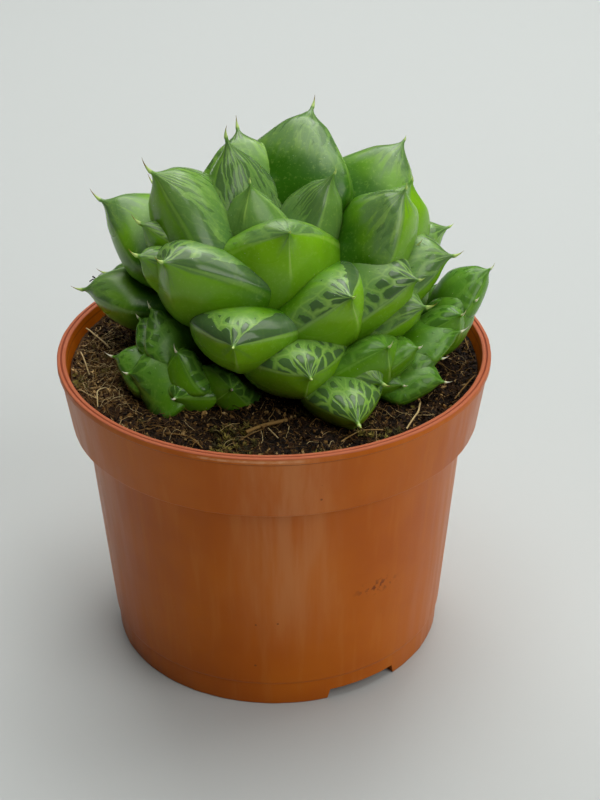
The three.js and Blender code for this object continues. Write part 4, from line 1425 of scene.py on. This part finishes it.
def straw(corners, thick, tone, lift, rise=0.0):
    """A stalk through given corners, softened, laid over the highest of the soil under it."""
    corners = np.array(corners, float)
    where = np.linspace(0, len(corners) - 1, STRAW_POINTS)
    across, along = [np.interp(where, range(len(corners)), corners[:, i]) for i in (0, 1)]
    height = max(soil_height(x, y) for x, y in zip(across, along)) + lift
    level = height + rise * np.sin(np.linspace(0, math.pi, STRAW_POINTS))
    return np.column_stack([across, along, level]), np.full(STRAW_POINTS, thick), tone


STRAWS = [              # corners, radius, tone, lift over the soil and, for some, rise in the middle
    ([(-5.7, -31.7), (-2.6, -29.3), (2.3, -27.3)], 0.42, 0.75, 0.3),
    ([(-2.6, -30.2), (-0.4, -27.4)], 0.3, 0.6, 0.6),
    ([(-7.6, -34.8), (-4.5, -31.6), (-2.2, -29.8)], 0.14, 0.6, 0.3),
    ([(-1.4, -29.9), (0.5, -33.7)], 0.12, 0.95, 0.3),
    ([(28.9, -20.3), (28.1, -25.4), (25.4, -30.6)], 0.2, 0.95, 0.3, 0.8),
    ([(-40.4, 13.6), (-38.0, 9.0), (-34.6, 4.4)], 0.17, 0.9, 0.5, 0.6),
    ([(-40.6, 2.8), (-39.4, -1.6), (-37.8, -7.7)], 0.16, 0.8, 0.4, 0.4),
    ([(-35.2, -20.0), (-35.6, -16.0), (-34.1, -12.3)], 0.13, 0.9, 0.3, 1.2),
    ([(35.9, -18.9), (38.4, -14.6), (41.0, -9.3)], 0.15, 0.7, 0.3, 0.5),
    ([(12.5, -35.4), (16.4, -32.0), (20.8, -31.2)], 0.14, 0.85, 0.3, 0.4),
    ([(-14.0, -36.0), (-16.5, -32.6), (-21.0, -30.4)], 0.15, 0.7, 0.3, 0.5),
    ([(36.0, 16.0), (39.5, 9.0), (40.8, 2.0)], 0.14, 0.8, 0.4, 1.6),
]
rng = np.random.default_rng(5)
strands = [rootlet(rng) for _ in range(ROOTLETS)]
strands += [rootlet(rng, 4, 8, 0.06) for _ in range(SHORT_ROOTLETS)]
strands += [straw(*row) for row in STRAWS]
print(len(strands), "rootlets and straws")

# %% [markdown]
# ### A dead twig
# Behind the rosette, on the left, a short dark twig stands up over the lip. It is a few crooked
# lines: a stalk that leans to the left, and five thin side shoots at its end.

# %% A dead twig
TWIG_TONE = 0.1
TWIG = [                # points and radius
    ([(-28.5, 16.5, 64.0), (-35.7, 15.0, 72.3), (-37.0, 15.0, 74.1), (-37.7, 15.0, 74.7),
      (-38.4, 15.0, 75.3)], 0.17),
    ([(-37.6, 15.0, 74.5), (-38.4, 15.0, 74.6), (-39.1, 15.0, 74.1)], 0.13),
    ([(-37.0, 15.0, 73.8), (-38.1, 15.0, 74.1), (-38.2, 15.0, 73.6)], 0.12),
    ([(-36.7, 15.0, 73.6), (-37.8, 15.0, 73.1), (-38.7, 15.0, 73.3)], 0.19),
    ([(-37.5, 15.0, 74.5), (-37.1, 15.0, 75.4), (-36.5, 15.0, 75.9), (-35.8, 15.0, 75.7)], 0.06),
    ([(-35.5, 15.0, 75.9), (-35.8, 15.0, 75.3), (-35.7, 15.0, 74.6)], 0.22),
]
twig = [(line, np.full(len(line), thick), TWIG_TONE) for line, thick in TWIG]
print("the twig has", len(twig), "lines")

# %% [markdown]
# ### Sweeping the lines
# One node tree sweeps a small five-sided circle along all the lines, as thick as each point says.
# Five sides are enough for something a tenth of a millimetre thick.

# %% Sweeping the lines
def strand_tree():
    tree, given, result = new_tree("strands", [("Finish", "NodeSocketMaterial", None)])
    lines = add(tree, "GeometryNodeMeshToCurve", {"Mesh": given["Geometry"]})
    ring = add(tree, "GeometryNodeCurvePrimitiveCircle", {"Resolution": 5, "Radius": 1.0})
    thick = add(tree, CARRIED, ["thick"], data_type="FLOAT")
    swept = add(tree, "GeometryNodeCurveToMesh",
                {"Curve": lines, "Profile Curve": ring, "Scale": thick, "Fill Caps": True})
    return end_tree(tree, given, result, add(tree, "GeometryNodeSetShadeSmooth", [swept]))


strand_sweep = strand_tree()
fibre_finish = toned_finish("dry rootlets and straw", [
    (0, "#2a1a0c"), (0.5, "#553a1a"), (0.85, "#8a6c3a"), (1, "#c0ac7c")], roughness=0.75, grain_mm=2.0)
twig_finish = toned_finish("dark dead twig", [(0, "#0d0a08"), (1, "#2a211a")], roughness=0.8, grain_mm=1.0)
for name, rows, finish in (("rootlets_and_straws", strands, fibre_finish), ("dead_twig", twig, twig_finish)):
    lines = chains_object(name + "_lines", [points for points, _, _ in rows], {
        "thick": np.concatenate([radii for _, radii, _ in rows]) * MM,
        "tone": np.concatenate([np.full(len(points), tone) for points, _, tone in rows])})
    lie_on_soil(grown(name, lines, strand_sweep, {"Finish": finish}))
    bpy.data.objects.remove(lines)

# %% [markdown]
# ## Light and floor
# The photo was taken on a pale sheet in soft light that falls from above, from behind and from the
# right, so the pot's shadow lies to the front left. Four large area lights do that: one overhead,
# one behind, one behind on the right, and one on the front right that fills the undersides of the
# leaves. The world adds next to nothing, because light from everywhere would wash the shadows out.

# %% Light and floor
FLOOR_REACH = 4.0       # metres each way
floor = piece("floor", [(x * FLOOR_REACH, y * FLOOR_REACH, 0)
                        for x, y in ((-1, -1), (1, -1), (1, 1), (-1, 1))], [(0, 1, 2, 3)])
floor_paint, floor_tree, floor_skin = new_material("pale matt sheet")
wire(floor_tree, floor_skin, {"Base Color": linear("#b5bab9"), "Roughness": 0.8})
floor.data.materials.append(floor_paint)

LIGHT_SIZE = (0.9, 0.8)
LIGHT_COLOUR = (1.0, 0.99, 0.97)
LIT_MIDDLE = Vector((0, 0, 0.06))
LIGHTS = {              # place in metres, power in watts
    "overhead_light": ((0, 0, 1.2), 7.1),
    "back_light": ((0, 0.75, 0.9), 7.4),
    "right_back_light": ((0.5, 0.45, 1.0), 5.4),
    "fill_light": ((0.75, -0.65, 0.8), 7.2),
}
for name, (stand, power) in LIGHTS.items():
    lamp = in_scene(name, bpy.data.lights.new(name, "AREA"))
    lamp.data.shape = "RECTANGLE"
    lamp.data.size, lamp.data.size_y = LIGHT_SIZE
    lamp.data.energy = power
    lamp.data.color = LIGHT_COLOUR
    lamp.location = stand
    lamp.rotation_euler = (LIT_MIDDLE - lamp.location).to_track_quat("-Z", "Y").to_euler()
print("lights:", sorted(LIGHTS))

world = bpy.data.worlds.new("pale room")
world.use_nodes = True
wire(world.node_tree, world.node_tree.nodes["Background"], {
    "Color": linear("#eef2f4"), "Strength": 0.02})
bpy.context.scene.world = world
bpy.context.scene.view_settings.view_transform = "Standard"

# %% [markdown]
# ## Finish
# The bare ground and the kits were only helpers, so they go.

# %% Finish
bpy.data.objects.remove(ground)
for kit in kits:
    for shape in list(kit.objects):
        bpy.data.objects.remove(shape)
    bpy.data.collections.remove(kit)
bpy.context.view_layer.update()
